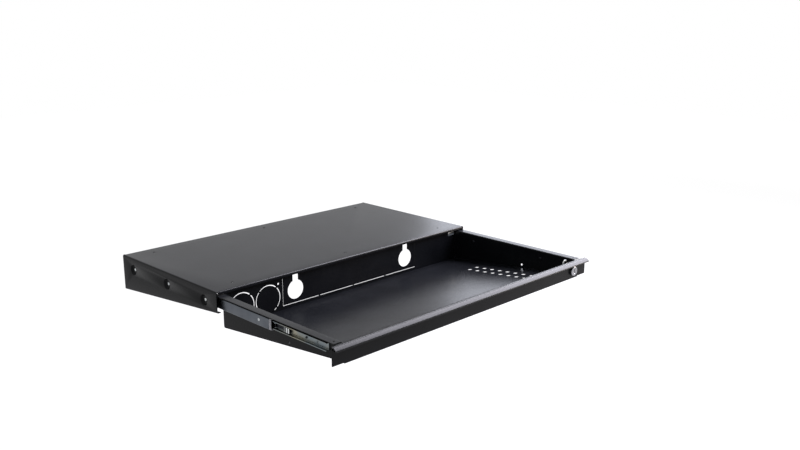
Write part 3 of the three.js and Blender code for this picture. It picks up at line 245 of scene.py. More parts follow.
def sheet(path: np.ndarray, thickness: float) -> np.ndarray:
    """Closed section of a sheet whose middle follows a path.

    Each point moves by t/2 over the cosine of half the bend, along the mean of the normals of
    the steps before and after it, to both sides.
    """
    step = np.diff(path, axis=0)
    step /= np.linalg.norm(step, axis=1, keepdims=True)
    across = np.stack([-step[:, 1], step[:, 0]], 1)
    before, after = np.concatenate([across[:1], across]), np.concatenate([across, across[-1:]])
    normal = before + after
    normal /= np.linalg.norm(normal, axis=1, keepdims=True)
    reach = thickness / 2 / (normal * before).sum(1, keepdims=True)
    return np.concatenate([path + normal * reach, (path - normal * reach)[::-1]])


def folded(
    corners: Sequence[Pair], inside: float, thickness: float, steps: int = 8
) -> np.ndarray:
    """Closed section of a sheet folded at the corners, with an inside bend radius."""
    return sheet(rounded(corners, inside + thickness / 2, steps), thickness)


def corner_cutter(
    corner: Pair, towards: tuple[int, int], radius: float, start: float, end: float, axis: Axis
) -> Surface:
    """The cutter that rounds an edge: a square at its corner less a quarter circle.

    Args:
        corner: the edge in the section plane.
        towards: the signs of u and v from the edge into the piece.
        radius: the radius that the edge gets.
        start: where the cutter begins along the axis.
        end: where it ends.
        axis: the edge's direction.
    """
    quarter = radius * (1 - arc(0, math.pi / 2, 9))
    square = [[radius, -OVERRUN], [-OVERRUN, -OVERRUN], [-OVERRUN, radius]]
    return bar(np.concatenate([quarter, square]) * towards + corner, start, end, axis)


def smooth_step(share: np.ndarray) -> np.ndarray:
    """0 to 1 with level ends: 3 s² - 2 s³."""
    return share * share * (3 - 2 * share)


def pressed_groove(half_width: float, depth: float) -> tuple[np.ndarray, np.ndarray]:
    """A groove across a sheet: its places, and d (1 + cos πs) / 2 for s from -1 to 1."""
    share = np.linspace(-1, 1, 15)
    return share * half_width, depth * (1 + np.cos(share * math.pi)) / 2


def thread(place: np.ndarray, start: float, pitch: float, steps: int) -> np.ndarray:
    """A thread's depth from 0 to 1, by row and angle: the triangle wave of s/pitch - t/2π.

    It fades out over one pitch after the start and before the last place.
    """
    wave = np.abs(2 * ((place[:, None] / pitch - np.arange(steps) / steps) % 1) - 1)
    fade = np.minimum(1, np.minimum(place - start, place[-1] - place) / pitch)
    return wave * fade[:, None]


# Meshes


def make_mesh(surface: Surface, name: str) -> bpy.types.Object:
    """Puts a surface into a mesh object at the origin, doubles merged and faces outwards."""
    mesh = bpy.data.meshes.new(name)
    mesh.from_pydata((surface.points * MM).tolist(), [], surface.faces)
    obj = bpy.data.objects.new(name, mesh)
    bpy.context.scene.collection.objects.link(obj)
    tidy_mesh(mesh)
    return obj


def tidy_mesh(mesh: bpy.types.Mesh, flatten: bool = False) -> None:
    """Merges doubles, turns faces outwards and joins the triangles of flat faces."""
    work = bmesh.new()
    work.from_mesh(mesh)
    bmesh.ops.remove_doubles(work, verts=work.verts, dist=DOUBLE)
    bmesh.ops.dissolve_degenerate(work, edges=work.edges, dist=DOUBLE)
    if flatten:
        bmesh.ops.dissolve_limit(work, angle_limit=FLAT, verts=work.verts, edges=work.edges)
    bmesh.ops.recalc_face_normals(work, faces=work.faces)
    work.to_mesh(mesh)
    work.free()


def combine(obj: bpy.types.Object, tools: Sequence[Surface], operation: str) -> None:
    """Joins solids to a piece (UNION) or cuts them out of it (DIFFERENCE), one by one."""
    for index, tool in enumerate(tools):
        other = make_mesh(tool, f"tool_{index}")
        step = obj.modifiers.new("combine", "BOOLEAN")
        step.operation, step.solver, step.object = operation, "MANIFOLD", other
        graph = bpy.context.evaluated_depsgraph_get()
        result = bpy.data.meshes.new_from_object(obj.evaluated_get(graph))
        obj.modifiers.clear()
        old, obj.data = obj.data, result
        result.name = obj.name
        bpy.data.meshes.remove(old)
        bpy.data.objects.remove(other)
    if tools:
        tidy_mesh(obj.data, flatten=True)


def soften(obj: bpy.types.Object, edge: float, segments: int) -> None:
    """Shades a piece smooth, its edges rounded by a live bevel, or left sharp when edge is 0."""
    mesh = obj.data
    mesh.polygons.foreach_set("use_smooth", np.ones(len(mesh.polygons), bool))
    if not edge:
        mesh.set_sharp_from_angle(angle=SHARP)
        return
    bevel = obj.modifiers.new("edges", "BEVEL")
    bevel.width, bevel.segments = edge * MM, segments
    bevel.limit_method, bevel.angle_limit = "ANGLE", SHARP
    bevel.harden_normals = bevel.use_clamp_overlap = True


# Finishes


def linear(hex_colour: str) -> tuple[float, float, float, float]:
    """An sRGB hex colour as a linear one with full alpha."""
    channels = [int(hex_colour[i : i + 2], 16) / 255 for i in (1, 3, 5)]
    values = [c / 12.92 if c <= 0.04045 else ((c + 0.055) / 1.055) ** 2.4 for c in channels]
    return (*values, 1.0)


def empty_tree(owner: bpy.types.Material | bpy.types.World) -> bpy.types.NodeTree:
    """The node tree of a material or a world, switched on and cleared."""
    owner.use_nodes = True
    owner.node_tree.nodes.clear()
    return owner.node_tree


def add_node(
    tree: bpy.types.NodeTree, kind: str, settings: dict | None = None, **inputs: object
) -> bpy.types.Node:
    """Adds a node, sets its own properties, and sets or links its inputs.

    Args:
        tree: the node tree.
        kind: the node's type name.
        settings: properties of the node itself.
        **inputs: values or output sockets by input name, with _ for a space.
    """
    node = tree.nodes.new(kind)
    for key, value in (settings or {}).items():
        setattr(node, key, value)
    for key, value in inputs.items():
        name = key.replace("_", " ")
        socket = next(s for s in node.inputs if s.name == name and s.enabled)
        if isinstance(value, bpy.types.NodeSocket):
            tree.links.new(value, socket)
        else:
            socket.default_value = value
    return node


def output(node: bpy.types.Node, name: str) -> bpy.types.NodeSocket:
    """A node's enabled output of that name."""
    return next(s for s in node.outputs if s.name == name and s.enabled)


@dataclass(frozen=True)
class Grain:
    """A noise on Object coordinates, scaled by a real size along each axis."""

    size_mm: float
    stretch: Triple = (1.0, 1.0, 1.0)
    detail: float = 2.0

    def build(self, tree: bpy.types.NodeTree) -> bpy.types.NodeSocket:
        """Adds the noise and returns its value."""
        place = output(add_node(tree, "ShaderNodeTexCoord"), "Object")
        spread = tuple(1 / s for s in self.stretch)
        mapping = add_node(tree, "ShaderNodeMapping", Vector=place, Scale=spread)
        noise = add_node(
            tree, "ShaderNodeTexNoise", Vector=output(mapping, "Vector"),
            Scale=1 / (self.size_mm * MM), Detail=self.detail, Roughness=0.5,
        )
        return noise.outputs[0]


@dataclass(frozen=True)
class Finish:
    """One finish: two tones over a patch noise, a roughness range and a relief."""

    name: str
    slot: str
    tones: tuple[str, str]
    roughness: Pair
    relief_mm: float
    patches: Grain
    grain: Grain
    fine: Grain | None = None
    metallic: float = 1.0
    specular: float = 0.5
    patch_span: Pair = (0.35, 0.65)  # noise values between which the tones mix
    grain_span: Pair = (0.3, 0.7)  # noise values between which the roughness goes

    def build(self) -> bpy.types.Material:
        """Makes the material."""
        material = bpy.data.materials.new(self.name)
        tree = empty_tree(material)
        grain = self.grain.build(tree)
        colour = add_node(tree, "ShaderNodeValToRGB", Fac=self.patches.build(tree))
        for stop, place, tone in zip(colour.color_ramp.elements, self.patch_span, self.tones):
            stop.position, stop.color = place, linear(tone)
        rough = add_node(
            tree, "ShaderNodeMapRange", Value=grain,
            From_Min=self.grain_span[0], From_Max=self.grain_span[1],
            To_Min=self.roughness[0], To_Max=self.roughness[1],
        )
        relief = {"Distance": self.relief_mm * MM, "Strength": 1.0}
        bump = add_node(tree, "ShaderNodeBump", Height=grain, **relief)
        if self.fine:
            height, below = self.fine.build(tree), bump.outputs[0]
            bump = add_node(tree, "ShaderNodeBump", Height=height, Normal=below, **relief)
        shader = add_node(
            tree, "ShaderNodeBsdfPrincipled", Base_Color=colour.outputs[0],
            Roughness=rough.outputs[0], Metallic=self.metallic,
            Specular_IOR_Level=self.specular, Normal=bump.outputs[0],
        )
        add_node(tree, "ShaderNodeOutputMaterial", Surface=shader.outputs[0])
        return material


# Black polyester powder coat, sprayed and baked: an even, fine-grained satin with a faint
# orange peel. The 0.9 mm grain is drawn coarser than the real 0.2 mm one so that it shows.
POWDER_COAT = Finish(
    "black_powder_coat", "powder_coat", ("#0b0c0f", "#0f1013"), (0.24, 0.31), 0.010,
    Grain(60.0), Grain(0.9, detail=3.0), fine=Grain(5.0), metallic=0.0, specular=0.08,
)
# Zinc plate on the drawer members: silver that drifts to a yellowish tint, with the rolling
# marks of the strip along Y, and their 0.5 mm spacing drawn at 1.2 mm.
ROLLED_ZINC = Finish(
    "rolled_zinc_plate", "zinc_plate", ("#70787c", "#8d8a7c"), (0.26, 0.40), 0.006,
    Grain(38.0), Grain(1.2, stretch=(1.0, 30.0, 1.0), detail=3.0),
)
# Bright zinc plate on the small parts: a cooler silver, with the same marks.
BRIGHT_ZINC = replace(ROLLED_ZINC, name="bright_zinc_plate", tones=("#b4bac0", "#c4c5c0"))
# Dark zinc-nickel plate on the outer members: grey and duller, with the same rolling marks.
DARK_ZINC = Finish(
    "dark_zinc_plate", "dark_zinc", ("#4a4e55", "#585c62"), (0.30, 0.44), 0.006,
    Grain(45.0), ROLLED_ZINC.grain,
)
# Black zinc plate with a chromate seal: near black, satin, faintly blotched.
BLACK_ZINC = Finish(
    "black_zinc_plate", "zinc_plate", ("#1b1c20", "#26272c"), (0.34, 0.46), 0.004,
    Grain(6.0), Grain(0.8, detail=3.0),
)
# Polished nickel on die-cast zinc: near mirror, with soft polishing waves.
LOCK_NICKEL = Finish(
    "polished_nickel", "lock_nickel", ("#86868a", "#909094"), (0.10, 0.18), 0.004,
    Grain(12.0), Grain(3.0),
)
# Injection-moulded acetal: satin, faintly mottled, with a fine spark-eroded texture.
GREY_ACETAL = Finish(
    "moulded_grey_acetal", "bumper_plastic", ("#c2c2ca", "#cdcdd4"), (0.42, 0.55), 0.02,
    Grain(9.0), Grain(0.6, detail=3.0), metallic=0.0,
)
# Ground and hardened steel: bright, with hardly any texture.
BALL_STEEL = Finish(
    "ground_ball_steel", "ball_steel", ("#b9bcc0", "#c6c8ca"), (0.06, 0.12), 0.001,
    Grain(4.0), Grain(0.8),
)
FINISHES = (
    POWDER_COAT, ROLLED_ZINC, BRIGHT_ZINC, DARK_ZINC, BLACK_ZINC, LOCK_NICKEL, GREY_ACETAL,
    BALL_STEEL,
)


# The frame


@dataclass(frozen=True)
class Box:
    """A node's box at rest, in mm."""

    low: np.ndarray
    high: np.ndarray

    @property
    def middle(self) -> np.ndarray:
        """The box's centre."""
        return (self.low + self.high) / 2

    @property
    def size(self) -> np.ndarray:
        """The box's edges."""
        return self.high - self.low


@dataclass
class Workshop:
    """The frame with its materials, and what hands a piece over to it."""

    frame: dict
    materials: dict[str, bpy.types.Material] = field(init=False)

    def __post_init__(self) -> None:
        """Makes every finish's material."""
        self.materials = {finish.name: finish.build() for finish in FINISHES}

    def box(self, node: str) -> Box:
        """A node's box in mm."""
        low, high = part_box(node)
        return Box(np.array(low) / MM, np.array(high) / MM)

    def underside(self, node: str, y: float) -> float:
        """The lowest Z of a node's points at a place along Y, in mm."""
        mesh = self.frame["nodes"][node].data
        points = np.empty(len(mesh.vertices) * 3)
        mesh.vertices.foreach_get("co", points)
        points = points.reshape(-1, 3) / MM
        return points[np.abs(points[:, 1] - y) < SAME_PLACE, 2].min()

    def body_of(self, node: str) -> str:
        """The body that a node belongs to."""
        groups = self.frame["record"]["behaviour"]["bodies"]
        return next(body for body, nodes in groups.items() if node in nodes)

    def make(
        self,
        name: str,
        node: str,
        finish: Finish,
        base: Surface,
        joined: Sequence[Surface] = (),
        cut: Sequence[Surface] = (),
        side: int = 1,
        edge: float = 0.0,
        segments: int = 2,
    ) -> None:
        """Makes a piece, gives it its finish and lets it stand for a node.

        Args:
            name: the piece's name.
            node: the frame's node.
            finish: the piece's finish.
            base: what it is made from, on the right-hand side.
            joined: solids joined to it.
            cut: solids then cut out of it.
            side: 1, or -1 to mirror it all.
            edge: how wide its edges are rounded.
            segments: facets of that rounding.
        """
        obj = make_mesh(base.on_side(side), name)
        combine(obj, [solid.on_side(side) for solid in joined], "UNION")
        combine(obj, [solid.on_side(side) for solid in cut], "DIFFERENCE")
        soften(obj, edge, segments)
        obj.data.materials.clear()
        obj.data.materials.append(self.materials[finish.name])
        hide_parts(node)
        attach(obj, self.body_of(node))
        LOG.info("%s stands for %s in %s", obj.name, node, finish.name)


# Fasteners


@dataclass(frozen=True)
class Pin:
    """A domed rivet or screw along +Y: its head before y = 0 and its shank behind."""

    head: float
    head_height: float
    shank: float
    pitch: float = 0.0
    recess: float = 0.0
    lift: float = 0.02  # between the rows at the seat, so that they don't merge
    thread_depth: float = 0.45  # as a share of the pitch
    rows_per_pitch: int = 8
    steps: int = 36
    recess_steps: int = 48
    arm_width: float = 0.16  # half of it, as a share of the recess
    recess_taper: Pair = (1.1, 0.55)  # the cross's scale at its mouth and floor
    recess_floor: float = 0.1  # its height over the seat, as a share of the head's
    mandrel: float = 1.7  # across the hole in a pulled rivet's head
    mandrel_depth: float = 0.9

    def body(self, length: float) -> Surface:
        """The turned body, its shank threaded when it has a pitch.

        The dome is r = R sin a, s = -h cos a.
        """
        dome = arc(0, math.pi / 2, 9)[:, ::-1] * [self.head / 2, -self.head_height]
        rows = np.concatenate([dome, [[self.head / 2, -self.lift], [self.shank / 2, 0.0]]])
        count = max(2, int(length / self.pitch * self.rows_per_pitch)) if self.pitch else 2
        place = np.linspace(self.lift, length, count)
        shank = np.full((count, self.steps), self.shank / 2)
        if self.pitch:
            cut = thread(place, 0.0, self.pitch, self.steps)
            shank -= cut * self.pitch * self.thread_depth
        head, tip = np.repeat(rows[:, :1], self.steps, 1), np.zeros((1, self.steps))
        along = np.concatenate([rows[:, 1], place, [length]])
        return turned(np.concatenate([head, shank, tip]), along, steps=self.steps)

    def drive(self) -> Surface:
        """The cutter of a cross recess that narrows with its depth.

        An arm's polar radius is the lesser of L/|cos t| and w/|sin t|, and the cross is the
        greater of its two arms.
        """
        angle = np.arange(self.recess_steps) * math.tau / self.recess_steps
        cos, sin = np.abs(np.cos(angle)) + 1e-9, np.abs(np.sin(angle)) + 1e-9
        reach, width = self.recess / 2, self.recess * self.arm_width
        arms = np.minimum(reach / cos, width / sin), np.minimum(reach / sin, width / cos)
        front, floor = -self.head_height - OVERRUN / 4, -self.head_height * self.recess_floor
        scale = np.array([0, *self.recess_taper, 0])
        radius = scale[:, None] * np.maximum(*arms)
        return turned(radius, [front, front, floor, floor], steps=self.recess_steps)

    def solids(self, length: float) -> tuple[Surface, Surface]:
        """The body with a shank of that length, and the cutter of its recess or mandrel hole."""
        if self.recess:
            return self.body(length), self.drive()
        front = -self.head_height - OVERRUN
        floor = -self.head_height + self.mandrel_depth
        return self.body(length), rod(self.mandrel, front, floor, (0.0, 0.0), Axis.Y, 20)


@dataclass
class Fasteners:
    """Every screw and rivet, placed where the frame has its node."""

    shop: Workshop
    slide_screw: Pin = Pin(7.0, 1.6, 4.0, pitch=0.7, recess=4.4)
    slide_rivet: Pin = Pin(6.5, 1.4, 3.2)
    corner_rivet: Pin = Pin(5.6, 1.2, 3.2)
    mid_rivet: Pin = Pin(5.4, 0.8, 3.0)

    def build(self) -> None:
        """Makes and places them all."""
        for name, side in SIDES.items():
            for index in (1, 2):
                self.sideways(f"slide_screw_{name}_{index}", self.slide_screw, side, BLACK_ZINC)
            for index in (1, 2, 3):
                self.sideways(f"cabinet_rivet_{name}_{index}", self.slide_rivet, -side, BRIGHT_ZINC)
            self.sideways(f"corner_rivet_side_{name}", self.corner_rivet, side, POWDER_COAT)
            self.sideways(f"mid_rivet_{name}", self.mid_rivet, -side, BRIGHT_ZINC)
            self.rearward(f"corner_rivet_rear_{name}", self.corner_rivet, POWDER_COAT)

    def sideways(self, node: str, pin: Pin, side: int, finish: Finish) -> None:
        """Places a pin whose shank points along X, its head's top at the box's near face."""
        box = self.shop.box(node)
        near = box.low[0] if side > 0 else box.high[0]
        seat = (near + side * pin.head_height, box.middle[1], box.middle[2])
        solids = pin.solids(box.size[0] - pin.head_height)
        body, cutter = (solid.heading(side).moved(*seat) for solid in solids)
        self.shop.make(f"{node}_turned", node, finish, body, cut=[cutter])

    def rearward(self, node: str, pin: Pin, finish: Finish) -> None:
        """Places a pin whose shank points to the rear."""
        box = self.shop.box(node)
        seat = (box.middle[0], box.low[1] + pin.head_height, box.middle[2])
        solids = pin.solids(box.size[1] - pin.head_height)
        body, cutter = (solid.moved(*seat) for solid in solids)
        self.shop.make(f"{node}_turned", node, finish, body, cut=[cutter])


# Slides


@dataclass
class Slides:
    """Both telescopic slides: three rolled members, two ball cages, end stop and lever each.

    Places along X are counted outwards from the tray's side wall.
    """

    shop: Workshop
    strip: float = 1.2
    bend: float = 0.6
    thickness: float = 12.7
    drawer_height: float = 15.0
    drawer_reach: float = 7.3
    web_gap: float = 1.5
    mid_reach: float = 8.4
    cabinet_reach: float = 10.0
    ball: float = 2.4
    ball_clearance: float = 0.1
    race_depth: float = 0.4
    race_half_width: float = 1.3
    inner_race: float = 4.0
    outer_race: float = 6.9
    cage_strip: float = 0.6
    cage_bend: float = 0.3
    cage_past_ball: float = 0.5
    cage_window: float = 1.9  # hole in a cage's leg, smaller than a ball so that it holds it
    balls_per_row: int = 10
    rivet: float = 3.2
    screw: float = 4.0
    mid_rivet: float = 3.0
    boss: tuple[float, float, float, float] = (6.0, 4.4, 0.7, 2.6)  # base, top, height, hole
    boss_setback: float = 29.0
    boss_crown: float = 0.01  # how far its top's middle stands over the rim
    slot_length: float = 12.0  # oblong holes punched in the webs
    slot_width: float = 4.6
    mid_slot_setback: float = 60.0  # from the mid member's rear end
    bumper_wall: float = 1.3
    bumper_bend: float = 0.55
    lever_sheet: float = 0.8
    lever_bend: float = 0.5
    lever_height: float = 6.0
    lever_reach: float = 4.4
    lever_tab: float = 13.0
    lever_pad: float = 9.0
    lever_lap: float = 1.5  # of the pad's fold on the leaf
    lever_end_inset: float = 1.2
    lever_glint_strip: float = 3.4  # width of each painted glint: a bright zinc strip on the black finger pad
    # how far those painted glint strips stand proud of the pad's face
    lever_glint_proud: float = 0.05
    edge: float = 0.15
    lever_edge: float = 0.12
    bumper_edge: float = 0.45

    def __post_init__(self) -> None:
        """Works out the shared places from the frame."""
        self.middle = self.shop.box("slide_screw_right_1").middle[2]
        self.wall = self.shop.box("slide_drawer_right").low[0] - SEAT_GAP
        self.race_gap = self.ball + 2 * self.ball_clearance - 2 * self.race_depth
        self.mid_height = self.drawer_height + 2 * (self.race_gap + self.strip)
        self.cabinet_height = self.mid_height + 2 * (self.race_gap + self.strip)
        self.cabinet_web = SEAT_GAP + self.thickness
        self.mid_web = self.cabinet_web - self.strip - self.web_gap

    def build(self) -> None:
        """Makes both slides."""
        inner_web = (self.mid_web - self.strip + SEAT_GAP + self.drawer_reach) / 2
        outer_web = self.mid_web + self.web_gap / 2
        inner_height = (self.drawer_height + self.race_gap) / 2
        outer_height = (self.mid_height + self.race_gap) / 2
        for name, side in SIDES.items():
            self.cabinet_member(name)
            self.mid_member(name)
            self.drawer_member(name)
            self.bumper(name, side)
            self.lever(name, side)
            outer, inner = f"ball_cage_outer_{name}", f"ball_cage_inner_{name}"
            self.cage(outer, side, outer_web, self.outer_race, outer_height)
            self.cage(inner, side, inner_web, self.inner_race, inner_height)

    def section(self, tip: float, web: float, height: float, races: list[Pair]) -> np.ndarray:
        """A member's closed section in (x, z): its legs from tip to web, with their races."""
        heading = math.copysign(1, web - tip)
        stretches = [np.array([[tip, height]])]
        for place, depth in races:
            across, lift = pressed_groove(self.race_half_width, depth)
            stretches.append(np.stack([place + heading * across, height + lift], 1))
        upper = np.concatenate([*stretches, [[web, height]]])
        lower = (upper * [1, -1])[::-1]
        corners = np.concatenate([upper[-2:], lower[:2]])
        bend = rounded(corners, self.bend + self.strip / 2)
        path = np.concatenate([upper[:-2], bend, lower[2:]])
        return sheet(path, self.strip) + [self.wall, self.middle]

    def member(
        self,
        kind: str,
        name: str,
        finish: Finish,
        section: np.ndarray,
        cut: list[Surface],
        joined: Sequence[Surface] = (),
    ) -> None:
        """A rolled member of one side: its section carried along its node's box."""
        node = f"slide_{kind}_{name}"
        box = self.shop.box(node)
        body = bar(section, box.low[1], box.high[1], Axis.Y)
        side = SIDES[name]
        self.shop.make(f"{node}_rolled", node, finish, body, joined, cut, side, edge=self.edge)

    def slot(self, y: float, web: float) -> Surface:
        """The cutter of an oblong hole with round ends, at a place along Y, through a web."""
        half, radius = (self.slot_length - self.slot_width) / 2, self.slot_width / 2
        front = arc(-math.pi / 2, math.pi / 2, 13) * radius + [half, 0]
        outline = np.concatenate([front, -front]) + [y, self.middle]
        return bar(outline, self.wall + web - OVERRUN, self.wall + web + OVERRUN, Axis.X)

    def hole(self, y: float, web: float, diameter: float, z: float | None = None) -> Surface:
        """The cutter of a round hole through a member's web, in its middle or at a height."""
        start, end = self.wall + web - OVERRUN, self.wall + web + OVERRUN
        return rod(diameter, start, end, (y, self.middle if z is None else z), Axis.X)

    def cabinet_member(self, name: str) -> None:
        """The member that stays in the housing."""
        web, tip = self.cabinet_web - self.strip / 2, self.cabinet_web - self.cabinet_reach
        height = (self.cabinet_height - self.strip) / 2
        section = self.section(tip, web, height, [(self.outer_race, self.race_depth)])
        rivets = [self.shop.box(f"cabinet_rivet_{name}_{i}").middle[1] for i in (1, 2, 3)]
        cut = [self.hole(y, web, clear_hole(self.rivet)) for y in rivets]
        cut += [self.slot((a + b) / 2, web) for a, b in zip(rivets, rivets[1:])]
        self.member("cabinet", name, DARK_ZINC, section, cut)

    def mid_member(self, name: str) -> None:
        """The member between the two others."""
        web, tip = self.mid_web - self.strip / 2, self.mid_web - self.mid_reach
        races = [(self.inner_race, self.race_depth), (self.outer_race, -self.race_depth)]
        section = self.section(tip, web, (self.mid_height - self.strip) / 2, races)
        y, z = self.shop.box(f"mid_rivet_{name}").middle[1:]
        slot = self.shop.box(f"slide_mid_{name}").high[1] - self.mid_slot_setback
        cut = [self.hole(y, web, clear_hole(self.mid_rivet), z), self.slot(slot, web)]
        self.member("mid", name, DARK_ZINC, section, cut)

    def drawer_member(self, name: str) -> None:
        """The member on the tray's wall, with the boss pressed into its web."""
        web, tip = SEAT_GAP + self.strip / 2, SEAT_GAP + self.drawer_reach
        height = (self.drawer_height - self.strip) / 2
        section = self.section(tip, web, height, [(self.inner_race, -self.race_depth)])
        base, top, rise, bore = self.boss
        place = self.shop.box(f"slide_drawer_{name}").low[1] + self.boss_setback
        share = np.linspace(0, 1, 7)
        foot = self.wall + SEAT_GAP + self.strip
        root = foot - self.strip / 2
        flank = foot + smooth_step(share)[1:] * rise - self.boss_crown
        radius = np.r_[0, base / 2 + (top - base) / 2 * share, 0]
        along = np.r_[root, root, flank, foot + rise]
        cone = turned(radius, along, (place, self.middle), Axis.X, 40)
        screws = [self.shop.box(f"slide_screw_{name}_{i}").middle[1] for i in (1, 2)]
        cut = [self.hole(y, web, clear_hole(self.screw)) for y in screws]
        cut.append(self.hole(place, web, bore))
        self.member("drawer", name, ROLLED_ZINC, section, cut, [cone])

    def channel(
        self, box: Box, tip: float, web: float, height: float, bend: float, wall: float, steps: int
    ) -> Surface:
        """A plain channel along a node's box, its legs at a height above and below the middle."""
        corners = [[tip, height], [web, height], [web, -height], [tip, -height]]
        section = folded(corners, bend, wall, steps) + [self.wall, self.middle]
        return bar(section, box.low[1], box.high[1], Axis.Y)

    def cage(self, node: str, side: int, web: float, race: float, height: float) -> None:
        """A thin channel whose legs hold a row of balls each, in punched windows."""
        box = self.shop.box(node)
        tip = race - self.ball / 2 - self.cage_past_ball
        body = self.channel(box, tip, web, height, self.cage_bend, self.cage_strip, 5)
        count = np.arange(self.balls_per_row) - (self.balls_per_row - 1) / 2
        row = box.middle[1] + count * box.size[1] / self.balls_per_row
        x = self.wall + race
        places = np.array([[x, y, self.middle + up * height] for up in (-1, 1) for y in row])
        windows = [
            rod(self.cage_window, z - self.ball / 2, z + self.ball / 2, (x, y), Axis.Z, 20)
            for _, y, z in places
        ]
        self.shop.make(f"{node}_strip", node, BALL_STEEL, body, cut=windows, side=side)
        along, radius = arc(0, math.pi, 11).T * self.ball / 2
        ball = turned(radius, -along, steps=20)
        self.shop.make(f"{node}_balls", node, BALL_STEEL, ball.at_each(places), side=side)

    def bumper(self, name: str, side: int) -> None:
        """The moulded stop on the mid member's front end."""
        node = f"mid_bumper_{name}"
        half = self.bumper_wall / 2
        web, height = self.mid_web - half, self.mid_height / 2 - half
        tip = self.mid_web - self.mid_reach + half
        box = self.shop.box(node)
        body = self.channel(box, tip, web, height, self.bumper_bend, self.bumper_wall, 8)
        look = {"edge": self.bumper_edge, "segments": 3}
        self.shop.make(f"{node}_moulded", node, GREY_ACETAL, body, side=side, **look)

    def lever(self, name: str, side: int) -> None:
        """The leaf that frees the drawer member: a strip with two tabs and a folded finger pad,
        with two bright strips on the pad as painted highlights of its glinting edges.
        """
        node = f"release_lever_{name}"
        box = self.shop.box(node)
        base = self.wall + 2 * SEAT_GAP + self.strip
        half, low, high = self.lever_sheet / 2, box.low[1], box.high[1]
        near, face = base + half, base + self.lever_reach
        far, pad = face - half, low + self.lever_pad
        leg, tall = self.lever_height / 2, box.size[2] / 2

        def strip(corners: list[list[float]], reach: float) -> Surface:
            """A folded strip, as far above the middle as below."""
            section = folded(corners, self.lever_bend, self.lever_sheet)
            return bar(section, self.middle - reach, self.middle + reach, Axis.Z)

        def tab(inner: float, outer: float, start: float, end: float) -> Surface:
            """A block of the lever's full height."""
            return block((inner, start, self.middle - tall), (outer, end, self.middle + tall))

        leaf = strip([[near, pad], [near, high - half], [face, high - half]], leg)
        fold = [[near, pad + self.lever_lap], [near, pad - half], [far, pad - half]]
        fold += [[far, low + half], [near, low + half]]
        look = {"side": side, "edge": self.lever_edge}
        self.shop.make(f"{node}_leaf", node, BLACK_ZINC, leaf, [strip(fold, tall)], **look)
        stop = low + self.lever_tab
        end = tab(near + self.lever_end_inset, face, high - self.lever_sheet, high)
        # two bright zinc strips on the black finger pad: painted highlights for the glints of its
        # tab edges
        glint_strips = [
            tab(far, face + self.lever_glint_proud, start, start + self.lever_glint_strip)
            for start in (low, pad - self.lever_glint_strip)
        ]
        tabs = tab(near, face, stop, stop + self.lever_sheet)
        self.shop.make(f"{node}_tabs", node, BRIGHT_ZINC, tabs, [end, *glint_strips], **look)


# Housing


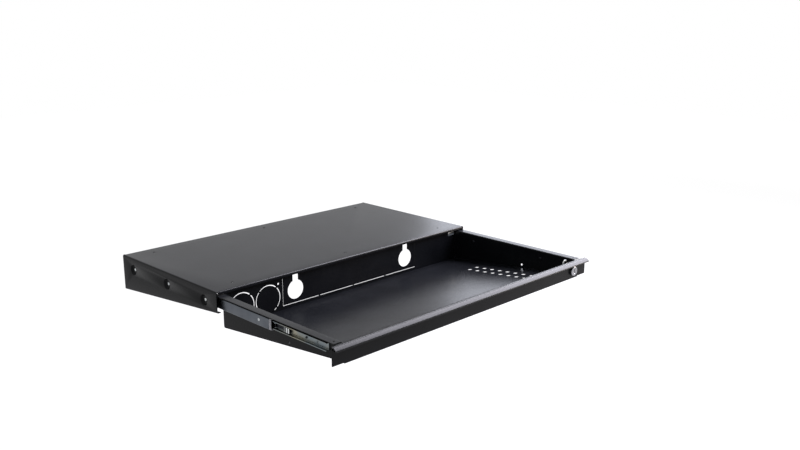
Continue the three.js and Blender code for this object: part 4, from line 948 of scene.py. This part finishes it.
@dataclass
class Housing:
    """The open steel channel that hangs the drawer, and the lock's striker in it."""

    shop: Workshop
    sheet: float = 1.5
    bend: float = 1.5
    lip: float = 8.5
    edge_lip_inset: float = 4.0
    edge_lip: float = 6.0
    edge: float = 0.25
    mounting_hole: float = 5.5
    mounting_spacing: float = 290.0
    mounting_edge: float = 30.0
    pad: Triple = (24.0, 16.0, 4.5)  # base, top and height
    rivet: float = 3.2
    striker_sheet: float = 1.5
    striker_bend: float = 1.0
    striker_corner: float = 3.0
    striker_edge: float = 0.15

    def build(self) -> None:
        """Makes the shell and the striker."""
        box = self.shop.box("housing_shell")
        front, rear = box.low[1], box.high[1]
        body = bar(self.section(front, box), front, rear, Axis.Y, self.section(rear, box))
        joined, cut = self.pads(box)
        half, radius = box.high[0] - self.edge_lip_inset, self.bend + self.sheet
        for y, inward in ((front, 1), (rear, -1)):
            inner = y + inward * self.sheet
            joined.append(block((-half, y, -self.edge_lip), (half, inner, -self.sheet / 2)))
            cut.append(corner_cutter((y, 0.0), (inward, -1), radius, -half, half, Axis.X))
        for y in (front + self.mounting_edge, rear - self.mounting_edge):
            for x in (-self.mounting_spacing, 0.0, self.mounting_spacing):
                cut.append(rod(self.mounting_hole, -self.sheet - OVERRUN, OVERRUN, (x, y), Axis.Z))
        self.shop.make(
            "housing_folded", "housing_shell", POWDER_COAT, body, joined, cut, edge=self.edge
        )
        self.striker()

    def section(self, y: float, box: Box) -> np.ndarray:
        """The folded section at a place along Y: top, side walls and lower lips."""
        half = self.sheet / 2
        bottom = self.shop.underside("housing_shell", y) + half
        wall, lip_end = box.high[0] - half, box.high[0] - self.lip
        right = np.array([[wall, -half], [wall, bottom], [lip_end, bottom]])
        return folded([*(right * [-1, 1])[::-1], *right], self.bend, self.sheet)

    def pads(self, box: Box) -> tuple[list[Surface], list[Surface]]:
        """The round pads pressed inwards for the slides: what is joined and what is cut.

        A pad's radius goes evenly from base to top while its height follows a smooth step.
        """
        base, top, height = self.pad
        share = np.linspace(0, 1, 12)
        radius = base / 2 + (top - base) / 2 * share
        outer, inner = box.high[0], box.high[0] - self.sheet

        def pad(centre: Pair, root: float, level: float) -> Surface:
            """A pad's body from its root over its foot, at a level, to its top."""
            along = np.r_[root, root, level - smooth_step(share) * height, level - height]
            return turned(np.r_[0, radius[0], radius, 0], along, centre, Axis.X, 48)

        joined, cut = [], []
        for name, side in SIDES.items():
            for index in (1, 2, 3):
                centre = self.shop.box(f"cabinet_rivet_{name}_{index}").middle[1:]
                joined.append(pad(centre, inner + self.sheet / 2, inner).on_side(side))
                start = inner - height - OVERRUN
                bore = rod(clear_hole(self.rivet), start, outer, centre, Axis.X)
                dimple = pad(centre, outer + OVERRUN, outer)
                cut += [dimple.on_side(side), bore.on_side(side)]
        return joined, cut

    def striker(self) -> None:
        """The bent tongue that the lock's hook holds, its lower corners rounded."""
        box = self.shop.box("lock_striker")
        half = self.striker_sheet / 2
        middle, level = box.low[1] + half, box.high[2] - half
        corners = [[middle, box.low[2]], [middle, level], [box.high[1], level]]
        section = folded(corners, self.striker_bend, self.striker_sheet)
        body = bar(section, box.low[0], box.high[0], Axis.X)
        start, end = box.low[1] - OVERRUN, box.low[1] + self.striker_sheet + OVERRUN
        cut = [
            corner_cutter((x, box.low[2]), (inward, 1), self.striker_corner, start, end, Axis.Y)
            for x, inward in ((box.low[0], 1), (box.high[0], -1))
        ]
        edge = self.striker_edge
        self.shop.make("lock_striker_bent", "lock_striker", BRIGHT_ZINC, body, cut=cut, edge=edge)


# Drawer


@dataclass
class Tray:
    """The drawer's floor, side walls and rear wall."""

    shop: Workshop
    sheet: float = 1.2
    bend: float = 1.0
    edge: float = 0.25
    rear_edge: float = 0.2
    vent: float = 8.8
    vent_flare: float = 2.2  # how much wider a vent is at the floor's underside
    vent_flare_depth: float = 1.0
    vent_pitch: float = 21.9
    vent_rows: Pair = (48.6, 73.0)  # from the right wall
    vents_per_row: int = 9
    vent_rear: float = 109.8
    upstand: float = 4.0
    tab: float = 14.0
    wall_corner: float = 4.0
    flange_hole: float = 3.5
    flange_hole_setback: float = 16.1
    drain: float = 4.5
    drain_setback: float = 144.8
    drain_drop: float = 41.4
    ear_step: float = 2.6  # from the panel's lower edge up to its ears'
    rail_back: float = 6.5  # from the panel's back to the rail's rear edge
    rail_roll: float = 2.2  # by which that edge is rolled down
    rear_flange: float = 14.0
    knockout: float = 60.0
    knockout_slit: float = 2.0
    knockout_bridge: float = 3.4
    knockout_drop: float = 37.6
    knockout_offsets: Pair = (39.2, 102.1)  # from the left wall
    pilot: float = 4.5
    pilot_drop: float = 10.8
    pilot_offset: float = 25.4
    flap_offset: float = 138.5
    flap_height: float = 60.5
    flap_slit: float = 1.4
    flap_side_slit: float = 1.2
    flap_bridge: float = 4.0
    flap_top_bridge: float = 3.0
    flap_bridges: int = 3
    keyhole_inset: float = 32.0
    keyhole: float = 40.0
    keyhole_neck: float = 14.0
    keyhole_drop: float = 32.0
    corner_rivet: float = 3.2
    corner_rivet_drop: float = 40.5
    corner_rivet_offset: float = 7.2
    slide_screw: float = 4.0
    notch_side: float = 2.0
    notch_bottom: float = 3.6

    def __post_init__(self) -> None:
        """Works out the shared places from the frame."""
        floor, wall = self.shop.box("tray_floor"), self.shop.box("side_wall_right")
        self.inner = floor.high[0] + SEAT_GAP
        self.outer = self.inner + self.sheet
        self.flange_edge, self.top = wall.high[0], wall.high[2]
        self.front, self.rear = floor.low[1], floor.high[1]
        self.front_low = self.shop.underside("tray_floor", self.front)
        rear_low = self.shop.underside("tray_floor", self.rear)
        self.slope = (rear_low - self.front_low) / (self.rear - self.front)
        self.wall_back = self.rear - self.sheet - SEAT_GAP
        self.wall_front = self.wall_back - self.sheet
        self.through = (self.wall_front - OVERRUN, self.wall_back + OVERRUN)
        self.lock_x = self.shop.box("lock_plug").middle[0]

    def underside(self, y: float) -> float:
        """The floor's underside at a place along Y."""
        return self.front_low + (y - self.front) * self.slope

    def build(self) -> None:
        """Makes all four pieces."""
        self.floor()
        for name, side in SIDES.items():
            self.side_wall(name, side)
        self.rear_wall()

    def floor(self) -> None:
        """The sloping plate, folded up behind the rear wall, with its vent holes."""
        half = self.sheet / 2
        fold, rear_top = self.rear - half, self.underside(self.rear) + self.sheet
        corners = [
            [self.front, self.underside(self.front) + half],
            [fold, self.underside(fold) + half],
            [fold, rear_top + self.upstand],
        ]
        wide = self.inner - SEAT_GAP
        body = bar(folded(corners, self.bend, self.sheet), -wide, wide, Axis.X)
        far = (wide + OVERRUN, self.rear + OVERRUN, self.top)
        gap = block((wide - self.tab, self.wall_back, rear_top), far)
        last = self.wall_front - self.vent_rear
        cut = [gap.on_side(side) for side in (-1, 1)] + [
            self.vent_cutter(self.inner - offset, last - index * self.vent_pitch)
            for offset in self.vent_rows
            for index in range(self.vents_per_row)
        ]
        self.shop.make(
            "tray_floor_folded", "tray_floor", POWDER_COAT, body, cut=cut, edge=self.edge
        )

    def vent_cutter(self, x: float, y: float) -> Surface:
        """The cutter of a vent hole: a cylinder on a cone that the underside cuts in half."""
        radius, low = self.vent / 2, self.underside(y)
        start, neck = low - self.vent_flare_depth, low + self.vent_flare_depth
        end = low + self.sheet + OVERRUN
        radii = [0, radius + self.vent_flare, radius, radius, 0]
        return turned(radii, [start, start, neck, end, end], (x, y), Axis.Z, 40)

    def side_section(self, y: float) -> np.ndarray:
        """A right-hand wall's folded section: outward flange and wall."""
        wall, level = self.outer - self.sheet / 2, self.top - self.sheet / 2
        corners = [[self.flange_edge, level], [wall, level], [wall, self.underside(y)]]
        return folded(corners, self.bend, self.sheet)

    def notch(self) -> Surface:
        """The cutter of the gap that lets the striker pass."""
        striker = self.shop.box("lock_striker")
        half = striker.size[0] / 2 + self.notch_side
        right = min(self.lock_x + half, self.inner - self.bend * 2 - self.sheet)
        low = striker.low[2] - self.notch_bottom
        opposite = (right, self.rear + OVERRUN, self.top + OVERRUN)
        return block((self.lock_x - half, self.wall_front - OVERRUN, low), opposite)

    def rivet_holes(self) -> list[Surface]:
        """The cutters of the two rivet holes at the right-hand rear corner."""
        hole, z = clear_hole(self.corner_rivet), self.top - self.corner_rivet_drop
        start, y = self.inner - self.sheet - OVERRUN, self.wall_front - self.corner_rivet_offset
        x = self.inner - self.corner_rivet_offset
        return [
            rod(hole, start, self.outer + OVERRUN, (y, z), Axis.X, 24),
            rod(hole, self.wall_front - OVERRUN, self.rear + OVERRUN, (x, z), Axis.Y, 24),
        ]

    def wall_holes(self) -> list[Surface]:
        """The cutters of a right-hand wall's holes."""
        near, far = self.inner - OVERRUN, self.outer + OVERRUN
        panel_back = self.front - SEAT_GAP
        flange = ((self.outer + self.flange_edge) / 2, panel_back + self.flange_hole_setback)
        drain = (panel_back + self.drain_setback, self.top - self.drain_drop)
        low, high = self.top - self.sheet - OVERRUN, self.top + OVERRUN
        screws = [self.shop.box(f"slide_screw_right_{index}").middle[1:] for index in (1, 2)]
        return [
            rod(self.flange_hole, low, high, flange, Axis.Z, 32),
            rod(self.drain, near, far, drain, Axis.X, 32),
            *self.rivet_holes(),
            *(rod(clear_hole(self.slide_screw), near, far, yz, Axis.X, 24) for yz in screws),
        ]

    def side_wall(self, name: str, side: int) -> None:
        """A side wall with its flange, front ear tab and rear corner tab."""
        sections = [self.side_section(y) for y in (self.front, self.rear)]
        body = bar(sections[0], self.front, self.rear, Axis.Y, sections[1])
        tab_top = self.top - self.sheet / 2
        tab_front = self.wall_back + SEAT_GAP
        middle = self.inner + self.sheet / 2
        ear = (middle, self.front, self.underside(self.front) + self.ear_step)
        ear_end = (self.flange_edge, self.front + self.sheet, tab_top)
        floor_top = self.underside(tab_front) + self.sheet
        tab = (self.inner - self.tab, tab_front, floor_top + SEAT_GAP)
        joined = [block(ear, ear_end), block(tab, (middle, self.rear, tab_top))]
        low, corner = self.underside(self.rear), self.wall_corner
        start, end = self.inner - self.tab - OVERRUN, self.outer + OVERRUN
        rail_under = self.top - self.sheet - SEAT_GAP - self.rail_roll
        rail = (self.inner - OVERRUN, self.front - OVERRUN, rail_under)
        rail_end = (self.flange_edge + OVERRUN, self.front + self.rail_back, self.top + OVERRUN)
        cut = [
            corner_cutter((self.rear, low), (-1, 1), corner, start, end, Axis.X),
            block(rail, rail_end),
            *self.wall_holes(),
        ]
        if side > 0:
            cut.append(self.notch())
        node = f"side_wall_{name}"
        self.shop.make(f"{node}_folded", node, POWDER_COAT, body, joined, cut, side, self.edge)

    def knockout_slits(self, x: float) -> list[Surface]:
        """The four arc slits round a knock-out, with bridges at the diagonals."""
        radius, inside = self.knockout / 2, self.knockout / 2 - self.knockout_slit
        bridge = self.knockout_bridge / radius / 2
        slits = []
        for quarter in range(4):
            start = math.pi / 2 * (quarter - 0.5) + bridge
            circle = arc(start, start + math.pi / 2 - 2 * bridge, 25)
            outline = np.concatenate([circle * radius, circle[::-1] * inside])
            outline += [x, self.top - self.knockout_drop]
            slits.append(bar(outline, *self.through, Axis.Y))
        return slits

    def flap_slits(self) -> list[Surface]:
        """The slits that outline the break-out flap."""
        half = self.inner - self.flap_offset
        front, back = self.through
        bottom = self.top - self.flap_height
        slit, tall = self.flap_side_slit / 2, self.flap_slit
        side_end = (half + slit, back, self.top - self.flap_top_bridge)
        side_slit = block((half - slit, front, bottom + tall / 2), side_end)
        slits = [side_slit.on_side(side) for side in (-1, 1)]
        gaps = np.linspace(-half, half, self.flap_bridges + 2)
        starts, ends = gaps[:-1] + self.flap_bridge / 2, gaps[1:] - self.flap_bridge / 2
        starts[0], ends[-1] = -half - slit, half + slit
        for start, end in zip(starts, ends):
            slits.append(block((start, front, bottom), (end, back, bottom + tall)))
        return slits

    def keyhole_cutter(self, x: float) -> Surface:
        """A cable port in one outline: a circle with a neck that is open at the top."""
        radius, neck = self.keyhole / 2, self.keyhole_neck / 2
        z = self.top - self.keyhole_drop
        start = math.asin(neck / radius)
        circle = arc(start, math.tau - start, 65)[:, ::-1] * radius
        neck_top = np.array([[-neck, self.top + OVERRUN - z], [neck, self.top + OVERRUN - z]])
        return bar(np.concatenate([circle, neck_top]) + [x, z], *self.through, Axis.Y)

    def rear_wall(self) -> None:
        """The wall with its side flanges, knock-outs, pilot hole, cable flap and notch."""
        half = self.sheet / 2
        side, wall = self.inner - SEAT_GAP - half, self.wall_front + half
        front = self.wall_front - self.rear_flange
        corners = [[-side, front], [-side, wall], [side, wall], [side, front]]
        low = self.underside(self.rear) - OVERRUN
        body = bar(folded(corners, self.bend, self.sheet), low, self.top, Axis.Z)
        over, gap = front - OVERRUN, self.sheet + SEAT_GAP
        under = np.array([
            [over, self.underside(over) + gap], [self.rear, self.underside(self.rear) + gap],
            [self.rear, low - OVERRUN], [over, low - OVERRUN],
        ])
        knockouts = [-self.inner + offset for offset in self.knockout_offsets]
        keyhole_x = self.inner - self.flap_offset - self.keyhole_inset
        pilot = (knockouts[1] + self.pilot_offset, self.top - self.pilot_drop)
        cut = [
            bar(under, -self.outer, self.outer, Axis.X),
            *self.knockout_slits(knockouts[0]),
            *self.knockout_slits(knockouts[1]),
            *self.flap_slits(),
            self.keyhole_cutter(-keyhole_x),
            self.keyhole_cutter(keyhole_x),
            rod(self.pilot, *self.through, pilot, Axis.Y, 32),
            self.notch(),
        ]
        rear_hole_first = self.rivet_holes()[::-1]
        cut += [hole.on_side(side) for side in (-1, 1) for hole in rear_hole_first]
        name, edge = "rear_wall_folded", self.rear_edge
        self.shop.make(name, "tray_rear_wall", POWDER_COAT, body, cut=cut, edge=edge)


@dataclass
class Front:
    """The front panel and the grip rail along its top."""

    shop: Workshop
    tray: Tray
    sheet: float = 1.2
    fold: float = 9.0
    fold_inset: float = 1.5
    fold_bend: float = 0.6
    fold_lap: float = 6.0  # how far the folded strip runs up inside the face
    corner: float = 0.75
    edge: float = 0.25
    lock_hole: float = 16.3
    rail_edge: float = 0.2
    roll: float = 5.5  # width over which the rail's rear edge is rolled down
    roll_bend: float = 4.0
    hem: float = 7.0
    nose_fall: float = 41.0  # degrees below level, of the nose's upper face
    nose_bend: float = 1.5
    hem_bend: float = 1.3
    groove_setback: float = 8.0
    groove_half_width: float = 1.4
    groove_depth: float = 0.9
    groove_lead: float = 0.1  # level stretch between the groove and the nose

    def build(self) -> None:
        """Makes the panel and the rail."""
        self.panel()
        self.rail()

    def panel(self) -> None:
        """The face, deeper between the tray's walls, its lower edge folded back under the floor."""
        box = self.shop.box("front_panel")
        half, outer = box.high[0], self.tray.outer
        face, back = box.low[1], box.low[1] + self.sheet
        top, bottom = box.high[2], box.low[2]
        ear = bottom + self.tray.ear_step
        right = rounded([[half, top], [half, ear], [outer, ear], [outer, bottom]], self.corner, 5)
        body = bar(np.concatenate([right, (right * [-1, 1])[::-1]]), face, back, Axis.Y)
        mid, level = face + self.sheet / 2, bottom + self.sheet / 2
        foot_end = [back + self.fold, level + self.tray.slope * self.fold]
        corners = [[mid, bottom + self.fold_lap], [mid, level], foot_end]
        section, foot_half = folded(corners, self.fold_bend, self.sheet), outer - self.fold_inset
        foot = bar(section, -foot_half, foot_half, Axis.X)
        radius, end = self.fold_bend + self.sheet, outer + OVERRUN
        fold_round = corner_cutter((face, bottom), (1, 1), radius, -end, end, Axis.X)
        lock = self.shop.box("lock_plug").middle
        lock_place = (lock[0], lock[2])
        hole = rod(self.lock_hole, face - OVERRUN, back + OVERRUN, lock_place, Axis.Y, 64)
        name, cut = "front_panel_folded", [fold_round, hole]
        self.shop.make(name, "front_panel", POWDER_COAT, body, [foot], cut, edge=self.edge)

    def rail(self) -> None:
        """The rail: flat band, rolled groove and rounded, hemmed nose."""
        box = self.shop.box("grip_rail")
        half = self.sheet / 2
        top, bottom = box.high[2] - half, box.low[2] + half
        back = self.tray.front - SEAT_GAP + self.tray.rail_back
        nose = box.low[1] + half
        groove = box.low[1] + self.groove_setback
        across, drop = pressed_groove(self.groove_half_width, self.groove_depth)
        wave = np.stack([groove - across, top - drop], 1)
        fall = math.radians(self.nose_fall)
        tip = nose - self.hem_bend * (1 / math.tan(fall / 2) - 1)
        lead = [groove - self.groove_half_width - self.groove_lead, top]
        brow = np.array([tip + (top - bottom) / math.tan(fall), top])
        chin = np.array([tip, bottom])
        crown = rounded([lead, brow, (brow + chin) / 2], self.nose_bend, 10)
        hem = rounded([(brow + chin) / 2, chin, [nose + self.hem, bottom]], self.hem_bend, 12)
        rolled = [[back, top - self.tray.rail_roll], [back - self.roll, top], wave[0]]
        rolled = rounded(rolled, self.roll_bend, 6)
        path = np.concatenate([rolled[:-1], wave, crown[:-1], hem[1:]])
        end = box.high[0]
        body = bar(sheet(path, self.sheet), -end, end, Axis.X)
        inside = (self.tray.flange_edge, self.tray.front - SEAT_GAP, top - 2 * OVERRUN)
        gap = block(inside, (end + OVERRUN, back + OVERRUN, top + OVERRUN))
        cut, edge = [gap.on_side(side) for side in (-1, 1)], self.rail_edge
        self.shop.make("grip_rail_rolled", "grip_rail", POWDER_COAT, body, cut=cut, edge=edge)


# Lock


@dataclass
class CamLock:
    """The cam lock: barrel, nut, plug with its keyway, hooked cam and its screw."""

    shop: Workshop
    head_height: float = 4.7
    head_chamfer: float = 1.2
    rim_chamfer: float = 0.2
    bore_chamfer: float = 0.25
    body: float = 16.0
    thread_pitch: float = 1.0
    thread_depth: float = 0.5
    thread_rows: int = 80
    thread_lead: float = 0.1
    bore: float = 11.3
    plug: float = 11.0
    face_step: float = 0.5
    dish: Triple = (0.3, 1.4, 1.1)  # depth, then its floor's and its brim's inset from the edge
    rim: float = 0.3  # width of the slope between the plug's face and its side
    keyway: Triple = (2.2, 8.0, 9.0)  # width, height and depth
    ward: Triple = (0.1, 0.12, 0.9)  # below and above the axis, and depth, as shares of the keyway
    square: float = 7.0
    screw_bore: float = 4.3
    screw_bore_depth: float = 6.0
    cam_sheet: float = 2.0
    hub: float = 16.0
    hook_rise: float = 13.4
    hook_shift: float = 4.0  # towards the tray's middle
    hook: float = 15.0
    mouth: float = 9.6
    mouth_angle: float = 38.0
    arm: float = 6.0
    nut_flats: float = 20.0
    nut_chamfer: tuple[Pair, ...] = ((0.0, 0.94), (0.35, 1.04), (0.7, 1.16))  # depth and scale
    screw: Pin = Pin(8.0, 2.4, 4.0, recess=4.6)
    plug_edge: float = 0.08
    cam_edge: float = 0.25

    def __post_init__(self) -> None:
        """Takes the axis from the frame."""
        x, _, z = self.shop.box("lock_plug").middle
        self.centre = (x, z)

    def build(self) -> None:
        """Makes all five pieces."""
        self.barrel()
        self.nut()
        self.plug_piece()
        self.cam()
        self.cam_screw()

    def ends(self, node: str) -> Pair:
        """Where a node begins and ends along Y."""
        box = self.shop.box(node)
        return box.low[1], box.high[1]

    def upright(self, half: Pair, start: float, end: float) -> Surface:
        """A block round the lock's axis, with half its width and height."""
        (x, z), (u, v) = self.centre, half
        return block((x - u, start, z - v), (x + u, end, z + v))

    def barrel(self) -> None:
        """The bored barrel: a chamfered, faintly domed head and a threaded body."""
        front, rear = self.ends("lock_barrel")
        head, bore, body = self.shop.box("lock_barrel").size[0] / 2, self.bore / 2, self.body / 2
        back, round_off, steps = front + self.head_height, self.head_chamfer, 72
        inset = (1 - arc(0, math.pi / 2, 7)[:, ::-1]) * round_off
        profile = np.concatenate([
            [[bore, rear], [bore, front + self.bore_chamfer], [bore + self.bore_chamfer, front]],
            inset * [-1, 1] + [head, front],
            [[head, back - self.rim_chamfer], [head - self.rim_chamfer, back], [body, back]],
        ])
        place = np.linspace(back + self.thread_lead, rear, self.thread_rows)
        cut = thread(place, place[0], self.thread_pitch, steps) * self.thread_depth
        radius = np.concatenate([np.repeat(profile[:, :1], steps, 1), body - cut])
        along = np.concatenate([profile[:, 1], place])
        surface = turned(radius, along, self.centre, Axis.Y, steps, ring=True)
        self.shop.make("lock_barrel_turned", "lock_barrel", LOCK_NICKEL, surface)

    def nut(self) -> None:
        """The hexagon nut, its corners chamfered: the lesser of hexagon and cone at each angle."""
        front, rear = self.ends("lock_nut")
        steps = 96
        angle = np.arange(steps) * math.tau / steps
        half, sector = self.nut_flats / 2, angle % (math.pi / 3) - math.pi / 6
        depth, scale = np.array(self.nut_chamfer).T
        place = np.r_[front + depth, (rear - depth)[::-1]]
        chamfer = np.r_[scale, scale[::-1]] * half
        outer = np.minimum(half / np.cos(sector), chamfer[:, None])
        bore = np.full((1, steps), self.body / 2 + HOLE_CLEARANCE)
        radius, along = np.concatenate([bore, outer, bore]), np.r_[front, place, rear]
        surface = turned(radius, along, self.centre, Axis.Y, steps, ring=True)
        self.shop.make("lock_nut_cut", "lock_nut", BRIGHT_ZINC, surface)

    def plug_piece(self) -> None:
        """The turning plug: dished face, broached keyway with its ward, and a square end."""
        front, rear = self.ends("lock_plug")
        shoulder = self.ends("lock_cam")[0] - SEAT_GAP
        radius, (dish, floor, brim) = self.plug / 2, self.dish
        radii = [0, radius - floor, radius - brim, radius - self.rim, radius, radius, 0]
        along = [front + dish, front + dish, front, front, front + self.face_step, shoulder]
        body = turned(radii, [*along, shoulder], self.centre, Axis.Y, 64)
        square = self.upright((self.square / 2, self.square / 2), shoulder - OVERRUN, rear)
        width, height, depth = self.keyway
        start = front - OVERRUN
        slot = self.upright((width / 2, height / 2), start, front + depth)
        below, above, share = self.ward
        x, z = self.centre
        ward = block(
            (x - width, start, z - height * below), (x, front + depth * share, z + height * above)
        )
        bore_start = rear - self.screw_bore_depth
        bore = rod(self.screw_bore, bore_start, rear + OVERRUN, self.centre, Axis.Y, 32)
        name, cut = "lock_plug_turned", [slot, ward, bore]
        self.shop.make(name, "lock_plug", LOCK_NICKEL, body, [square], cut, edge=self.plug_edge)

    def cam(self) -> None:
        """The flat cam: a hub and an arm that ends in a C-shaped hook."""
        front, back = self.ends("lock_cam")
        x, z = self.centre
        hub = rod(self.hub, front, back, self.centre, Axis.Y, 64)
        opening = math.radians(self.mouth_angle)
        circle = arc(opening, math.tau - opening, 49)
        hook_z = z + self.hook_rise
        outline = np.concatenate([circle * self.hook / 2, circle[::-1] * self.mouth / 2])
        hook = bar(outline + [x - self.hook_shift, hook_z], front, back, Axis.Y)
        arm_foot, arm_top = z + self.square / 2 + self.cam_sheet, hook_z - self.mouth / 2
        arm = block((x - self.arm / 2, front, arm_foot), (x + self.arm / 2, back, arm_top))
        half = self.square / 2 + HOLE_CLEARANCE
        square = self.upright((half, half), front - OVERRUN, back + OVERRUN)
        name, edge = "lock_cam_stamped", self.cam_edge
        self.shop.make(name, "lock_cam", BRIGHT_ZINC, hub, [hook, arm], [square], edge=edge)

    def cam_screw(self) -> None:
        """The screw that holds the cam, its head to the rear."""
        front, rear = self.ends("lock_cam_screw")
        (x, z), height = self.centre, self.screw.head_height
        solids = self.screw.solids(rear - front - height)
        body, cutter = (solid.half_turned().moved(x, rear - height, z) for solid in solids)
        self.shop.make("cam_screw_turned", "lock_cam_screw", BRIGHT_ZINC, body, cut=[cutter])


# Studio


@dataclass
class Studio:
    """Camera, pale floor and soft light, their places and sizes in metres."""

    camera_place: Triple = (-1.2300, -1.5497, 0.547)
    camera_pitch: float = 14.63  # degrees below the horizon
    camera_yaw: float = 44.80  # degrees from +Y towards +X
    lens: float = 40.77
    sensor: float = 36.0
    surround_lit: float = 0.45  # the surround's strength as a light
    surround_seen: float = 1.0
    floor_height: float = -0.62
    floor_size: float = 14.0
    floor_slab: float = 0.01
    floor_tone: str = "#5c5c5c"
    fade_reach: Pair = (1.2, 4.5)  # distances between which the floor pales
    fade_glow: Pair = (0.80, 0.96)

    def build(self) -> None:
        """Sets up everything that isn't the object."""
        self.camera()
        self.world()
        self.floor()
        self.lights()
        bpy.context.scene.view_settings.view_transform = "Standard"

    def camera(self) -> None:
        """The photograph's viewpoint, found from its vanishing points."""
        data = bpy.data.cameras.new("camera")
        data.lens, data.sensor_width = self.lens, self.sensor
        camera = bpy.data.objects.new("camera", data)
        camera.location = self.camera_place
        pitch, yaw = math.radians(90 - self.camera_pitch), math.radians(self.camera_yaw)
        camera.rotation_euler = (pitch, 0, -yaw)
        bpy.context.scene.collection.objects.link(camera)
        bpy.context.scene.camera = camera

    def seen_or_lit(
        self, tree: bpy.types.NodeTree, lit: bpy.types.Node, seen: bpy.types.Node
    ) -> bpy.types.NodeSocket:
        """One shader for the eye, mirrors and glass, another for the light on the part."""
        path = add_node(tree, "ShaderNodeLightPath")
        either = path.outputs["Is Camera Ray"]
        for ray in ("Is Glossy Ray", "Is Transmission Ray"):
            more = add_node(tree, "ShaderNodeMath", {"operation": "MAXIMUM"})
            tree.links.new(either, more.inputs[0])
            tree.links.new(path.outputs[ray], more.inputs[1])
            either = more.outputs[0]
        mix = add_node(tree, "ShaderNodeMixShader", Fac=either)
        tree.links.new(lit.outputs[0], mix.inputs[1])
        tree.links.new(seen.outputs[0], mix.inputs[2])
        return mix.outputs[0]

    def world(self) -> None:
        """A white surround for the eye and a soft grey one for the light."""
        world = bpy.data.worlds.new("studio")
        tree = empty_tree(world)
        lit, seen = (
            add_node(tree, "ShaderNodeBackground", Color=(1, 1, 1, 1), Strength=strength)
            for strength in (self.surround_lit, self.surround_seen)
        )
        add_node(tree, "ShaderNodeOutputWorld", Surface=self.seen_or_lit(tree, lit, seen))
        bpy.context.scene.world = world

    def floor(self) -> None:
        """A pale floor well below the hanging housing."""
        half, top, slab = self.floor_size / 2 / MM, self.floor_height / MM, self.floor_slab / MM
        obj = make_mesh(block((-half, -half, top - slab), (half, half, top)), "floor")
        material = bpy.data.materials.new("pale_floor")
        tree = empty_tree(material)
        matt = add_node(tree, "ShaderNodeBsdfDiffuse", Color=linear(self.floor_tone))
        place = output(add_node(tree, "ShaderNodeTexCoord"), "Object")
        reach = add_node(tree, "ShaderNodeVectorMath", {"operation": "LENGTH"}, Vector=place)
        fade = add_node(
            tree, "ShaderNodeMapRange", Value=output(reach, "Value"),
            From_Min=self.fade_reach[0], From_Max=self.fade_reach[1],
            To_Min=self.fade_glow[0], To_Max=self.fade_glow[1],
        )
        glow = add_node(
            tree, "ShaderNodeEmission", Color=(1, 1, 1, 1), Strength=fade.outputs[0]
        )
        both = add_node(tree, "ShaderNodeAddShader")
        for node, socket in zip((matt, glow), both.inputs):
            tree.links.new(node.outputs[0], socket)
        add_node(tree, "ShaderNodeOutputMaterial", Surface=self.seen_or_lit(tree, matt, both))
        obj.data.materials.append(material)

    def lights(self) -> None:
        """A softbox at the right, a low one at the front right, a faint rear one and a weak key."""
        self.area("side", (1.9, -0.6, 1.65), (0.1, -0.5, 0.0), (1.9, 2.0), 400.0, "#f6f4ff")
        self.area("rear", (2.35, 1.0, 0.68), (0.2, -0.4, 0.0), (1.2, 1.0), 15.0, "#eef2ff")
        self.area("front", (1.96, -1.72, 0.2), (0.2, -0.5, 0.0), (0.6, 0.9), 42.0, "#fff2e6")
        self.area("key", (-1.2, -1.2, 2.6), (0.0, -0.2, 0.0), (2.0, 2.0), 4.0, "#ffffff")

    def area(
        self, name: str, place: Triple, target: Triple, size: Pair, power: float, tint: str
    ) -> None:
        """A rectangular area light, of a width and a height in metres, that faces a target."""
        data = bpy.data.lights.new(name, "AREA")
        data.shape, data.energy = "RECTANGLE", power
        data.size, data.size_y = size
        data.color = linear(tint)[:3]
        light = bpy.data.objects.new(name, data)
        light.location = place
        light.visible_camera = False
        aim = Vector(target) - Vector(place)
        light.rotation_euler = aim.to_track_quat("-Z", "Y").to_euler()
        bpy.context.scene.collection.objects.link(light)


def main() -> None:
    """Builds every sub-assembly around the frame."""
    logging.basicConfig(level=logging.INFO, format="%(message)s")
    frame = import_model()
    Studio().build()
    shop = Workshop(frame)
    tray = Tray(shop)
    for assembly in (Housing(shop), Slides(shop), tray, Front(shop, tray), CamLock(shop)):
        assembly.build()
    Fasteners(shop).build()


if __name__ == "__main__":
    main()
